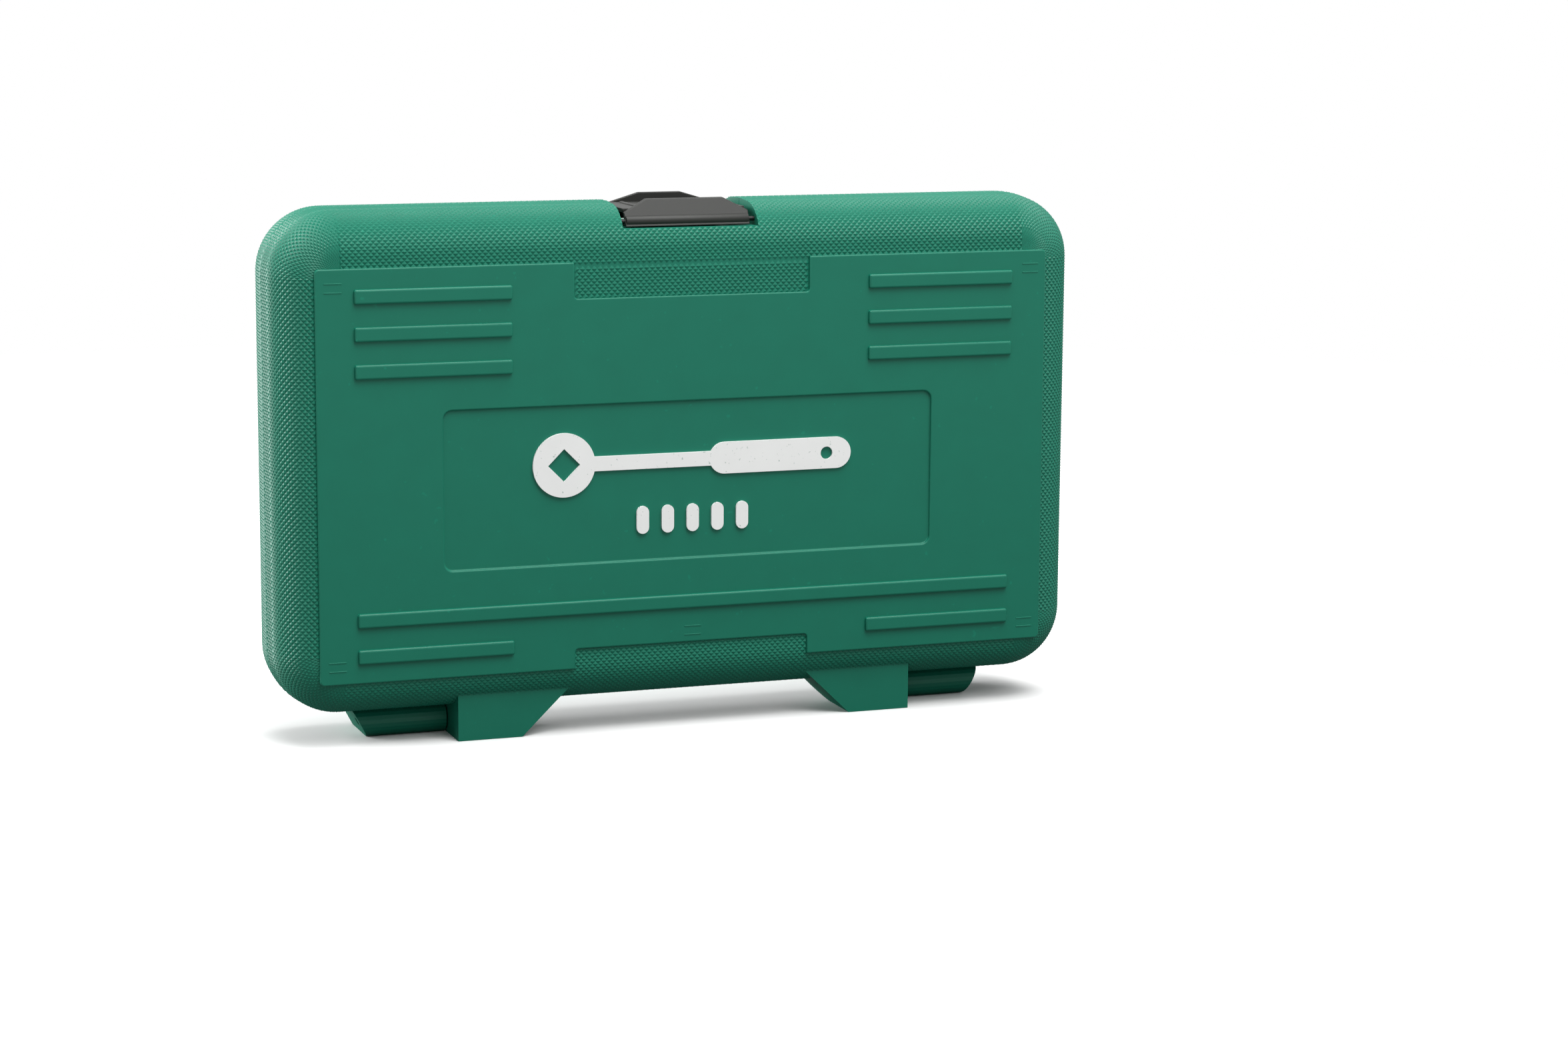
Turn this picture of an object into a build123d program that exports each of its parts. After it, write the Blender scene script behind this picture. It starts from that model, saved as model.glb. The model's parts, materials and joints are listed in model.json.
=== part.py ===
from build123d import *
import os
from math import cos, pi, radians, sin, tan

os.makedirs("parts", exist_ok=True)

# Socket wrench set in a moulded case that stands on its hinge knuckles.
# X is the width, the lid faces -Y, +Z is up. The parting plane is y = 0 and the floor is z = 0.

# Case: overall sizes
case_width = 288.0
case_height = 170.5
half_depth = 23.0
foot_height = 11.0
corner_radius = 22.0
edge_radius = 14.0
draft = 4.0
wall = 2.0
parting_gap = 0.3

# Case: raised panel, label area and ribs
panel_width = 262.0
panel_height = 139.4
panel_drop = 18.7
panel_rise = 1.0
panel_chamfer = 0.5
panel_corner = 1.5
notch_width = 84.4
top_notch = 12.2
bottom_notch = 7.0
label_width = 176.0
label_height = 54.6
label_drop = 67.0
label_depth = 1.0
label_corner = 3.0
rib_rise = 1.2
rib_height = 4.9
rib_inner = 64.0
rib_outer = 118.0
rib_drops = (28.0, 40.5, 53.0)
long_rib_rise = 33.8
low_rib_rise = 21.5

# Hinge knuckles, which are also the feet
pin_radius = 1.5
running = 0.05
knuckle_gap = 0.6
lid_knuckle_inner = 60.0
lid_knuckle_outer = 82.5
base_knuckle_gap = 0.5
base_knuckle_outer = 110.5
knuckle_reach = 18.5
lid_flank = 46.0
base_flank = 28.0
pin_stop = 1.0
pin_overhang = 2.0
pin_chamfer = 0.3

# Latch
recess_width = 48.6
recess_depth = 8.1
latch_width = 44.6
front_top_half = 13.8
rear_top_half = 7.6
ear_depth = 3.4
shoulder_drop = 1.2
web_start = 2.2
web_slot_place = (-12.0, -3.0)
web_slot_length = 6.0
web_slot_width = 2.0
web_rib_step = 15.0
web_rib_width = 1.2
web_rib_height = 2.0
web_rib_drop = 0.7
web_rib_inset = 0.5
latch_top = 1.4
latch_sheet = 1.5
latch_lean = 4.6
latch_front = 15.5
latch_back = 16.0
latch_pin_radius = 0.8
latch_barrel_radius = 1.9
latch_pin_rise = 2.2
web_drop = 3.2

# Inner walls and tools
liner_sheet = 1.5
fit_gap = 0.4
tool_gap = 0.5
drive_size = 9.5
drive_length = 10.5
drive_clearance = 0.1
socket_length = 28.0
socket_step = 9.0
socket_row_drop = 36.0
plug_row_drop = 70.0
bar_row_drop = 97.0
ratchet_drop = 134.0

# Derived places
body_bottom = foot_height
body_top = body_bottom + case_height
body_mid = (body_bottom + body_top) / 2
surround_depth = half_depth - panel_rise
inner_depth = surround_depth - wall
hinge_z = (body_bottom - knuckle_gap) / 2
knuckle_radius = hinge_z
base_knuckle_inner = lid_knuckle_outer + base_knuckle_gap
panel_top = body_top - panel_drop
panel_mid = panel_top - panel_height / 2
recess_floor = body_top - recess_depth
pocket_floor = inner_depth - fit_gap - liner_sheet
tray_face = parting_gap / 2 + liner_sheet

front = Plane.XZ
rear = Plane((0, 0, 0), x_dir=(-1, 0, 0), z_dir=(0, 1, 0))


def level(y):
    """Plane at the height y that faces the lid."""
    return Plane.XZ.offset(-y)


def write(part, name):
    """Saves one node as a STEP file that bears its name."""
    part.label = name
    export_step(part, f"parts/{name}.step")


def half_body(side, inset, depth):
    """Drafted dish with a rounded outer edge, standing out from the parting plane."""
    with BuildPart() as body:
        with BuildSketch(side.offset(parting_gap / 2)):
            with Locations((0, body_mid)):
                RectangleRounded(case_width - 2 * inset, case_height - 2 * inset, corner_radius - inset)
        extrude(amount=depth - parting_gap / 2, taper=draft)
        face = body.faces().sort_by(Axis((0, 0, 0), side.z_dir))[-1]
        fillet(face.edges(), radius=edge_radius - inset)
    return body.part


def outer_panel(side, label):
    """Raised panel with its notches, ribs and, on the lid, the sunk label area."""
    with BuildPart() as panel:
        with BuildSketch(side.offset(surround_depth - wall)) as outline:
            with Locations((0, panel_mid)):
                Rectangle(panel_width, panel_height)
            with Locations((0, panel_top)):
                Rectangle(notch_width, 2 * top_notch, mode=Mode.SUBTRACT)
            with Locations((0, panel_top - panel_height)):
                Rectangle(notch_width, 2 * bottom_notch, mode=Mode.SUBTRACT)
            fillet(outline.vertices(), panel_corner)
        extrude(amount=wall + panel_rise)
        face = panel.faces().sort_by(Axis((0, 0, 0), side.z_dir))[-1]
        chamfer(face.edges(), panel_chamfer)
        rib_mid = (rib_inner + rib_outer) / 2
        with BuildSketch(side.offset(half_depth)):
            for drop in rib_drops:
                with Locations((-rib_mid, body_top - drop), (rib_mid, body_top - drop)):
                    RectangleRounded(rib_outer - rib_inner, rib_height, panel_chamfer)
            with Locations((0, body_bottom + long_rib_rise)):
                RectangleRounded(2 * rib_outer, rib_height, panel_chamfer)
            with Locations((-rib_mid, body_bottom + low_rib_rise), (rib_mid, body_bottom + low_rib_rise)):
                RectangleRounded(rib_outer - rib_inner, rib_height, panel_chamfer)
        extrude(amount=rib_rise, taper=30)
        if label:
            with BuildSketch(side.offset(half_depth - label_depth)):
                with Locations((0, body_top - label_drop - label_height / 2)):
                    RectangleRounded(label_width, label_height, label_corner)
            extrude(amount=label_depth, mode=Mode.SUBTRACT)
    return panel.part


def knuckle_outline(low, high, flank_low, flank_high, height):
    """Four-sided foot outline from the floor up, with a slope on either flank in degrees."""
    with BuildSketch() as outline:
        with BuildLine():
            Polyline(
                (low - height * tan(radians(flank_low)), height),
                (low, 0),
                (high, 0),
                (high + height * tan(radians(flank_high)), height),
                close=True,
            )
        make_face()
        fillet(outline.vertices().sort_by(Axis.Y)[:2], 1.2)
    return outline.sketch


def knuckles(side, low, high, flank_low, flank_high, bore_radius, bore_low, bore_high):
    """The pair of feet of one half, with their barrels past the parting plane and the pin bores."""
    tall = knuckle_outline(low, high, flank_low, flank_high, body_bottom + edge_radius / 2)
    short = knuckle_outline(low, high, flank_low, flank_high, 2 * hinge_z)
    with BuildPart() as barrel:
        with BuildSketch(Plane.XZ.offset(-knuckle_radius)):
            add(short)
        extrude(amount=2 * knuckle_radius)
        with BuildSketch(Plane.YZ):
            with Locations((0, hinge_z)):
                Circle(knuckle_radius)
        extrude(amount=case_width / 2, mode=Mode.INTERSECT)
    with BuildPart() as block:
        with BuildSketch(Plane.XZ.offset(-knuckle_reach)):
            add(tall)
        extrude(amount=2 * knuckle_reach)
        split(bisect_by=side.offset(parting_gap / 2), keep=Keep.TOP)
    with BuildPart() as pair:
        add(barrel.part)
        add(block.part)
        with BuildSketch(Plane.YZ.offset(bore_low)):
            with Locations((0, hinge_z)):
                Circle(bore_radius)
        extrude(amount=bore_high - bore_low, mode=Mode.SUBTRACT)
        mirror(about=Plane.YZ)
    return pair.part


def shell(side, label, feet):
    """Single-walled half of the case with its panel, feet and the latch recess in its top edge."""
    with BuildPart() as recess_wall:
        with BuildSketch(side):
            with Locations((0, body_top + wall)):
                Rectangle(recess_width + 2 * wall, 2 * (recess_depth + 2 * wall))
        extrude(amount=half_depth)
    with BuildPart() as hollow:
        add(half_body(side, wall, inner_depth))
        add(recess_wall.part, mode=Mode.SUBTRACT)
        with BuildSketch(side):
            with Locations((0, body_mid)):
                RectangleRounded(case_width - 2 * wall, case_height - 2 * wall, corner_radius - wall)
            with Locations((0, body_top + wall)):
                Rectangle(recess_width + 2 * wall, 2 * (recess_depth + 2 * wall), mode=Mode.SUBTRACT)
        extrude(amount=parting_gap / 2)
    with BuildPart() as half:
        add(half_body(side, 0, surround_depth))
        add(outer_panel(side, label))
        add(feet)
        add(hollow.part, mode=Mode.SUBTRACT)
        with BuildSketch(side):
            with Locations((0, recess_floor + recess_depth)):
                Rectangle(recess_width, 2 * recess_depth)
        extrude(amount=2 * half_depth, mode=Mode.SUBTRACT)
    return half.part


# ---- Case halves ----
lid_pin_stop = lid_knuckle_inner + pin_stop
pin_end = base_knuckle_outer + pin_overhang
base_feet = knuckles(
    rear,
    base_knuckle_inner,
    base_knuckle_outer,
    0,
    base_flank,
    pin_radius,
    base_knuckle_inner,
    case_width / 2,
)
lid_feet = knuckles(
    front,
    lid_knuckle_inner,
    lid_knuckle_outer,
    lid_flank,
    0,
    pin_radius + running,
    lid_pin_stop,
    case_width / 2,
)
with BuildPart() as base_shell:
    add(shell(rear, False, base_feet))
write(base_shell.part, "base_shell")

latch_pin_y = -latch_front
latch_pin_z = recess_floor + latch_pin_rise
latch_pin_length = recess_width + 1.5 * wall
with BuildPart() as lid_shell:
    add(shell(front, True, lid_feet))
    with BuildSketch(Plane.YZ.offset(-latch_pin_length / 2)):
        with Locations((latch_pin_y, latch_pin_z)):
            Circle(latch_pin_radius)
    extrude(amount=latch_pin_length, mode=Mode.SUBTRACT)
write(lid_shell.part, "lid_shell")

for name, low in (("hinge_pin_left", -pin_end), ("hinge_pin_right", lid_pin_stop + running)):
    with BuildPart() as hinge_pin:
        with BuildSketch(Plane.YZ.offset(low)):
            with Locations((0, hinge_z)):
                Circle(pin_radius)
        extrude(amount=pin_end - lid_pin_stop - running)
        chamfer(hinge_pin.edges(), pin_chamfer)
    write(hinge_pin.part, name)

# ---- Latch ----
plate_top = body_top + latch_top
plate_bottom = latch_pin_z - latch_barrel_radius / 2
web_top = plate_top - web_drop
shoulder = web_top - shoulder_drop
with BuildPart() as latch_plate:
    with BuildSketch(Plane.YZ.offset(-latch_width / 2)):
        with BuildLine():
            Polyline(
                (latch_pin_y - latch_barrel_radius, plate_bottom),
                (latch_pin_y - latch_barrel_radius + latch_lean, plate_top),
                (latch_pin_y - latch_barrel_radius + latch_lean + latch_sheet, plate_top),
                (latch_pin_y - latch_barrel_radius + latch_sheet + 0.4, plate_bottom),
                close=True,
            )
        make_face()
    extrude(amount=latch_width)
    with BuildSketch(level(0)):
        with BuildLine():
            Polyline(
                (-latch_width / 2, plate_bottom),
                (-latch_width / 2, shoulder),
                (-front_top_half, plate_top),
                (front_top_half, plate_top),
                (latch_width / 2, shoulder),
                (latch_width / 2, plate_bottom),
                close=True,
            )
        make_face()
    extrude(amount=half_depth, mode=Mode.INTERSECT)
with BuildPart() as latch:
    add(latch_plate.part)
    with BuildSketch(Plane.YZ.offset(-latch_width / 2)):
        with Locations((latch_pin_y, latch_pin_z)):
            Circle(latch_barrel_radius)
    extrude(amount=latch_width)
    web_front = latch_pin_y + web_start
    with BuildSketch(Plane.XY.offset(web_top - latch_sheet)):
        with Locations((0, (web_front + latch_back) / 2)):
            Rectangle(latch_width, latch_back - web_front)
        with Locations(web_slot_place):
            SlotOverall(web_slot_length, web_slot_width, mode=Mode.SUBTRACT)
    extrude(amount=latch_sheet)
    with BuildSketch(level(latch_back)):
        with BuildLine():
            Polyline(
                (-latch_width / 2, web_top - ear_depth),
                (-latch_width / 2, shoulder),
                (-rear_top_half, plate_top),
                (rear_top_half, plate_top),
                (latch_width / 2, shoulder),
                (latch_width / 2, web_top - ear_depth),
                close=True,
            )
        make_face()
    extrude(amount=latch_sheet)
    for x in (-web_rib_step, 0.0, web_rib_step):
        with BuildSketch(Plane.YZ.offset(x - web_rib_width / 2)):
            with Locations(((web_front + latch_back) / 2, web_top - latch_sheet - web_rib_drop)):
                Rectangle(latch_back - web_front - 2 * web_rib_inset, web_rib_height)
        extrude(amount=web_rib_width)
    with BuildSketch(Plane.YZ.offset(-latch_width / 2)):
        with Locations((latch_pin_y, latch_pin_z)):
            Circle(latch_pin_radius + running)
    extrude(amount=latch_width, mode=Mode.SUBTRACT)
write(latch.part, "latch")

with BuildPart() as latch_pin:
    with BuildSketch(Plane.YZ.offset(-latch_pin_length / 2)):
        with Locations((latch_pin_y, latch_pin_z)):
            Circle(latch_pin_radius)
    extrude(amount=latch_pin_length)
write(latch_pin.part, "latch_pin")

# ---- Emblem: a plain wrench picture over a row of plain pills ----
emblem_z = body_top - 87.4
emblem_rise = 0.9
ring_x = -46.0
ring_radius = 11.0
ring_square = 8.0
stem_x = -4.0
stem_length = 72.0
stem_height = 5.0
handle_x = 32.0
handle_length = 52.0
handle_height = 11.0
eye_x = 49.0
eye_radius = 2.2
pill_z = body_top - 107.6
pill_count = 5
pill_step = 9.0
pill_length = 9.6
pill_width = 4.4
with BuildPart() as emblem:
    with BuildSketch(level(-half_depth + label_depth)):
        with Locations((ring_x, emblem_z)):
            Circle(ring_radius)
        with Locations((stem_x, emblem_z)):
            Rectangle(stem_length, stem_height)
        with Locations((handle_x, emblem_z)):
            SlotOverall(handle_length, handle_height)
        with Locations((ring_x, emblem_z)):
            Rectangle(ring_square, ring_square, rotation=45, mode=Mode.SUBTRACT)
        with Locations((eye_x, emblem_z)):
            Circle(eye_radius, mode=Mode.SUBTRACT)
        with Locations((0, pill_z)):
            with GridLocations(pill_step, 0, pill_count, 1):
                SlotOverall(pill_length, pill_width, rotation=90)
    extrude(amount=emblem_rise)
write(emblem.part, "emblem")

# ---- Tool places ----
socket_z = body_top - socket_row_drop
plug_z = body_top - plug_row_drop
bar_z = body_top - bar_row_drop
ratchet_z = body_top - ratchet_drop
tray_half = case_width / 2 - wall - fit_gap

# Across flats, outer diameter at the mouth
socket_sizes = (
    (8, 12.5),
    (10, 15.0),
    (11, 16.5),
    (12, 17.5),
    (13, 19.0),
    (14, 20.5),
    (17, 24.0),
    (19, 26.5),
)
drive_end_diameter = 17.0
socket_hex_depth = 12.0


def socket_width(mouth_diameter):
    return max(mouth_diameter, drive_end_diameter)


row_length = sum(socket_width(mouth) for size, mouth in socket_sizes) + socket_step * (len(socket_sizes) - 1)
socket_places = []
row_x = -row_length / 2
for size, mouth in socket_sizes:
    socket_places.append(row_x + socket_width(mouth) / 2)
    row_x += socket_width(mouth) + socket_step

plug_socket_diameter = 24.0
plug_socket_length = 64.0
plug_socket_x = -tray_half + 18.0
universal_x = -18.0
universal_length = 52.0
universal_space = 6.6
short_bar_x = tray_half - 18.0
short_bar_length = 75.0
long_bar_x = tray_half - 40.0
long_bar_length = 150.0
bar_diameter = 9.0
ratchet_x = -98.0
ratchet_length = 196.0
head_radius = 17.0
pivot_distance = 16.5
pivot_boss = 15.0
grip_radius = 12.0
lying_y = 5.5
pocket_corner = 1.0
bar_pocket_rise = 2.0
round_relief = 0.01

# ---- Inner walls ----
def inner_plate(side, thickness):
    """Flat inner wall just inside the rim of one half, cut away round the latch recess."""
    with BuildPart() as plate:
        with BuildSketch(side.offset(parting_gap / 2)):
            with Locations((0, body_mid)):
                RectangleRounded(
                    2 * tray_half, case_height - 2 * (wall + fit_gap), corner_radius - wall - fit_gap
                )
            with Locations((0, body_top)):
                Rectangle(
                    recess_width + 2 * (wall + fit_gap),
                    2 * (recess_depth + wall + fit_gap),
                    mode=Mode.SUBTRACT,
                )
        extrude(amount=thickness, taper=draft)
    return plate.part


# Pockets: centre x, centre z, width, height, corner radius, depth of the pocket floor
pockets = []
for (size, mouth), x in zip(socket_sizes, socket_places):
    width = socket_width(mouth) + 2 * tool_gap
    pockets.append((x, socket_z, width, width, width / 2 - round_relief, pocket_floor))
plug_width = plug_socket_diameter + 2 * tool_gap
pockets.append(
    (
        plug_socket_x + plug_socket_length / 2,
        plug_z,
        plug_socket_length + 2 * tool_gap,
        plug_width,
        pocket_corner,
        pocket_floor,
    )
)
pockets.append(
    (
        universal_x + universal_length / 2,
        plug_z,
        universal_length + 2 * tool_gap,
        drive_end_diameter + 2 * universal_space,
        pocket_corner,
        pocket_floor,
    )
)
bar_width = drive_end_diameter + 2 * tool_gap
for bar_end, bar_row, bar_length in (
    (short_bar_x, plug_z, short_bar_length),
    (long_bar_x, bar_z, long_bar_length),
):
    pockets.append(
        (
            bar_end - bar_length / 2,
            bar_row,
            bar_length + 2 * tool_gap,
            bar_width,
            pocket_corner,
            pocket_floor - bar_pocket_rise,
        )
    )
head_width = 2 * head_radius + 2 * tool_gap
head_extent = pivot_distance + pivot_boss + tool_gap + head_width / 2
pockets.append(
    (
        ratchet_x + (head_extent - head_width) / 2,
        ratchet_z,
        head_extent,
        head_width,
        head_width / 2 - round_relief,
        pocket_floor,
    )
)
grip_width = 2 * grip_radius + 2 * tool_gap
pockets.append(
    (
        ratchet_x + ratchet_length / 2,
        ratchet_z,
        ratchet_length - 2 * tool_gap,
        grip_width,
        4.0,
        lying_y + grip_radius - 5.0,
    )
)
# Finger scoops beside the tools that lie down
scoop_width = 22.0
scoop_height = 36.0
scoop_rise = 4.0
for x, z in (
    (plug_socket_x + plug_socket_length / 2, plug_z),
    (short_bar_x - short_bar_length / 2, plug_z),
    (long_bar_x - long_bar_length / 2, bar_z),
    (ratchet_x + ratchet_length * 0.62, ratchet_z),
):
    pockets.append((x, z, scoop_width, scoop_height, scoop_width / 2 - round_relief, pocket_floor - scoop_rise))

with BuildPart() as tool_tray:
    add(inner_plate(rear, liner_sheet))
    for x, z, width, height, radius, floor_y in pockets:
        with BuildSketch(level(floor_y + liner_sheet)):
            with Locations((x, z)):
                RectangleRounded(width + 2 * liner_sheet, height + 2 * liner_sheet, radius + liner_sheet)
        extrude(amount=floor_y + liner_sheet - parting_gap / 2)
    for x, z, width, height, radius, floor_y in pockets:
        with BuildSketch(level(floor_y)):
            with Locations((x, z)):
                RectangleRounded(width, height, radius)
        extrude(amount=floor_y, mode=Mode.SUBTRACT)
write(tool_tray.part, "tool_tray")

pad_depth = 4.0
pad_step = 62.0
pad_width = 40.0
pad_height = 12.0
pad_corner = 4.0
pad_taper = 12
liner_inset = wall + fit_gap
liner_floor = inner_depth - fit_gap - liner_sheet
with BuildPart() as lid_liner:
    add(half_body(front, liner_inset, liner_floor + liner_sheet))
    add(half_body(front, liner_inset + liner_sheet, liner_floor), mode=Mode.SUBTRACT)
    with BuildSketch(front):
        with Locations((0, body_top)):
            Rectangle(recess_width + 2 * liner_inset, 2 * (recess_depth + liner_inset))
    extrude(amount=half_depth, mode=Mode.SUBTRACT)
    with BuildSketch(level(-liner_floor)):
        for z in (socket_z, plug_z, bar_z, ratchet_z):
            with Locations((0, z)):
                with GridLocations(pad_step, 0, 4, 1):
                    RectangleRounded(pad_width, pad_height, pad_corner)
    extrude(amount=-pad_depth, taper=pad_taper)
write(lid_liner.part, "lid_liner")


# ---- Turned tools ----
def across(plane, distance):
    """Plane square to the turning axis, at a distance along it."""
    return Plane(plane.origin + plane.y_dir * distance, x_dir=plane.x_dir, z_dir=plane.y_dir)


def lying(x, z):
    """Turning plane of a tool that lies along +X in its pocket."""
    return Plane((x, lying_y, z), x_dir=(0, 0, 1), z_dir=(0, 1, 0))


def turned(plane, outline):
    """Solid of revolution of an outline of (radius, distance) points about the plane's Y axis."""
    with BuildPart() as body:
        with BuildSketch(plane):
            with BuildLine():
                Polyline(*outline, close=True)
            make_face()
        revolve(axis=Axis(plane.origin, plane.y_dir))
    return body.part


bevel = 0.6
square_depth = drive_length + 0.5
neck = 3.0


def make_socket(plane, flats, mouth_diameter, length, hex_depth):
    """Socket with a square drive hole, a grip groove and a hexagon mouth."""
    drive_r = socket_width(mouth_diameter) / 2
    mouth_r = mouth_diameter / 2
    with BuildPart() as body:
        add(
            turned(
                plane,
                (
                    (0, 0),
                    (drive_r - bevel, 0),
                    (drive_r, bevel),
                    (drive_r, 5.0),
                    (drive_r - 0.4, 5.4),
                    (drive_r - 0.4, 8.6),
                    (drive_r, 9.0),
                    (drive_r, square_depth),
                    (mouth_r, square_depth + neck),
                    (mouth_r, length - bevel),
                    (mouth_r - bevel, length),
                    (0, length),
                ),
            )
        )
        with BuildSketch(across(plane, 0)):
            Rectangle(drive_size + 2 * drive_clearance, drive_size + 2 * drive_clearance)
        extrude(amount=square_depth, mode=Mode.SUBTRACT)
        with BuildSketch(across(plane, length - hex_depth)):
            RegularPolygon(flats / 2 + drive_clearance, 6, major_radius=False)
        extrude(amount=hex_depth, mode=Mode.SUBTRACT)
        with BuildSketch(across(plane, 0)):
            Circle(0.45 * min(flats, drive_size))
        extrude(amount=length, mode=Mode.SUBTRACT)
    return body.part


for (size, mouth), x in zip(socket_sizes, socket_places):
    upright = Plane((x, pocket_floor - tool_gap / 2, socket_z), x_dir=(1, 0, 0), z_dir=(0, 0, -1))
    write(make_socket(upright, size, mouth, socket_length, socket_hex_depth), f"socket_{size:02d}")

plug_flats = 18.0
plug_hex_depth = 44.0
plug_plane = lying(plug_socket_x, plug_z)
plug_part = make_socket(plug_plane, plug_flats, plug_socket_diameter, plug_socket_length, plug_hex_depth)
write(plug_part, "plug_socket")
insert_wall = 3.0
insert_length = 16.0
insert_start = plug_socket_length - plug_hex_depth + 2.0
with BuildPart() as plug_insert:
    with BuildSketch(across(plug_plane, insert_start)):
        Circle(plug_flats / 2 - fit_gap)
        Circle(plug_flats / 2 - fit_gap - insert_wall, mode=Mode.SUBTRACT)
    extrude(amount=insert_length)
write(plug_insert.part, "plug_socket_insert")

ball_radius = 1.5
ball_proud = 0.6


def ball_place(plane, distance):
    """Centre of the detent ball in the side of a square drive."""
    return plane.origin + plane.y_dir * distance + plane.x_dir * (drive_size / 2 + ball_proud - ball_radius)


def square_end(plane, start):
    """Male square drive with the hole for its detent ball."""
    with BuildPart() as square:
        with BuildSketch(across(plane, start)):
            Rectangle(drive_size, drive_size)
        extrude(amount=drive_length)
        chamfer(square.faces().sort_by(Axis(plane.origin, plane.y_dir))[-1].edges(), bevel)
        ball_centre = ball_place(plane, start + drive_length / 2)
        ball_floor = ball_centre - plane.x_dir * ball_radius
        with BuildSketch(Plane(ball_floor, x_dir=plane.y_dir, z_dir=plane.x_dir)):
            Circle(ball_radius + running)
        extrude(amount=2 * ball_radius, mode=Mode.SUBTRACT)
    return square.part


def make_extension(plane, length):
    """Extension bar with a socket end, a slim bar and a male square."""
    end_r = drive_end_diameter / 2
    bar_r = bar_diameter / 2
    with BuildPart() as body:
        add(
            turned(
                plane,
                (
                    (0, 0),
                    (end_r - bevel, 0),
                    (end_r, bevel),
                    (end_r, 16.0),
                    (bar_r, 21.0),
                    (bar_r, length - drive_length - 6.0),
                    (bar_r + 2.2, length - drive_length - 3.5),
                    (bar_r + 2.2, length - drive_length),
                    (0, length - drive_length),
                ),
            )
        )
        with BuildSketch(across(plane, 0)):
            Rectangle(drive_size + 2 * drive_clearance, drive_size + 2 * drive_clearance)
        extrude(amount=square_depth, mode=Mode.SUBTRACT)
        add(square_end(plane, length - drive_length))
    return body.part


long_plane = lying(long_bar_x - long_bar_length, bar_z)
short_plane = lying(short_bar_x - short_bar_length, plug_z)
write(make_extension(long_plane, long_bar_length), "extension_long")
write(make_extension(short_plane, short_bar_length), "extension_short")
with BuildPart() as extension_balls:
    for plane, length in ((long_plane, long_bar_length), (short_plane, short_bar_length)):
        with Locations(ball_place(plane, length - drive_length / 2)):
            Sphere(ball_radius)
write(extension_balls.part, "extension_balls")

# ---- Universal joint ----
fork_radius = drive_end_diameter / 2
cross_size = 8.0
ear_gap = 0.2
ear_half = 3.5
ear_reach = 8.0
cross_pin_radius = 1.7
universal_plane = lying(universal_x, plug_z)
cross_place = 0.5 * universal_length - 2.0
output_end = universal_length - drive_length


def fork(plane, start, end, toward, ear_axis):
    """Turned fork body with a pair of round-ended ears either side of the cross."""
    centre = plane.origin + plane.y_dir * cross_place
    side_dir = plane.x_dir if ear_axis == "Z" else plane.z_dir
    ear_plane = Plane(centre, x_dir=plane.y_dir, z_dir=side_dir)
    with BuildPart() as body:
        with BuildSketch(ear_plane.offset(-fork_radius)):
            Circle(ear_half)
            with Locations((-toward * ear_reach / 2, 0)):
                Rectangle(ear_reach, 2 * ear_half)
        extrude(amount=2 * fork_radius)
        with BuildSketch(ear_plane.offset(-cross_size / 2 - ear_gap)):
            with Locations((-toward * ear_reach / 4, 0)):
                Rectangle(1.5 * ear_reach + cross_size, 2 * fork_radius)
        extrude(amount=cross_size + 2 * ear_gap, mode=Mode.SUBTRACT)
        with BuildSketch(across(plane, 0)):
            Circle(fork_radius)
        extrude(amount=universal_length, mode=Mode.INTERSECT)
        with BuildSketch(across(plane, start)):
            Circle(fork_radius)
        extrude(amount=end - start)
        with BuildSketch(ear_plane.offset(-fork_radius)):
            Circle(cross_pin_radius + running)
        extrude(amount=2 * fork_radius, mode=Mode.SUBTRACT)
    return body.part


with BuildPart() as universal_input:
    add(fork(universal_plane, 0, cross_place - ear_reach, 1, "Z"))
    with BuildSketch(across(universal_plane, 0)):
        Rectangle(drive_size + 2 * drive_clearance, drive_size + 2 * drive_clearance)
    extrude(amount=square_depth, mode=Mode.SUBTRACT)
write(universal_input.part, "universal_input")
with BuildPart() as universal_output:
    add(fork(universal_plane, cross_place + ear_reach, output_end, -1, "Y"))
    add(square_end(universal_plane, output_end))
write(universal_output.part, "universal_output")
cross_x = universal_x + cross_place
pin_half = fork_radius - 0.6
with BuildPart() as universal_cross:
    with Locations((cross_x, lying_y, plug_z)):
        Box(cross_size, cross_size, cross_size)
    chamfer(universal_cross.edges(), 0.5)
    with BuildSketch(Plane.XY.offset(plug_z - cross_size)):
        with Locations((cross_x, lying_y)):
            Circle(cross_pin_radius)
    extrude(amount=2 * cross_size, mode=Mode.SUBTRACT)
    with BuildSketch(level(lying_y + cross_size)):
        with Locations((cross_x, plug_z)):
            Circle(cross_pin_radius)
    extrude(amount=2 * cross_size, mode=Mode.SUBTRACT)
write(universal_cross.part, "universal_cross")
with BuildPart() as universal_pins:
    with BuildSketch(Plane.XY.offset(plug_z - pin_half)):
        with Locations((cross_x, lying_y)):
            Circle(cross_pin_radius)
    extrude(amount=2 * pin_half)
    with BuildSketch(level(lying_y + pin_half), level(lying_y - cross_pin_radius - running)):
        with Locations((cross_x, plug_z)):
            Circle(cross_pin_radius)
    extrude(amount=pin_half - cross_pin_radius - running)
write(universal_pins.part, "universal_pins")
with BuildPart() as universal_ball:
    with Locations(ball_place(universal_plane, output_end + drive_length / 2)):
        Sphere(ball_radius)
write(universal_ball.part, "universal_ball")

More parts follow.
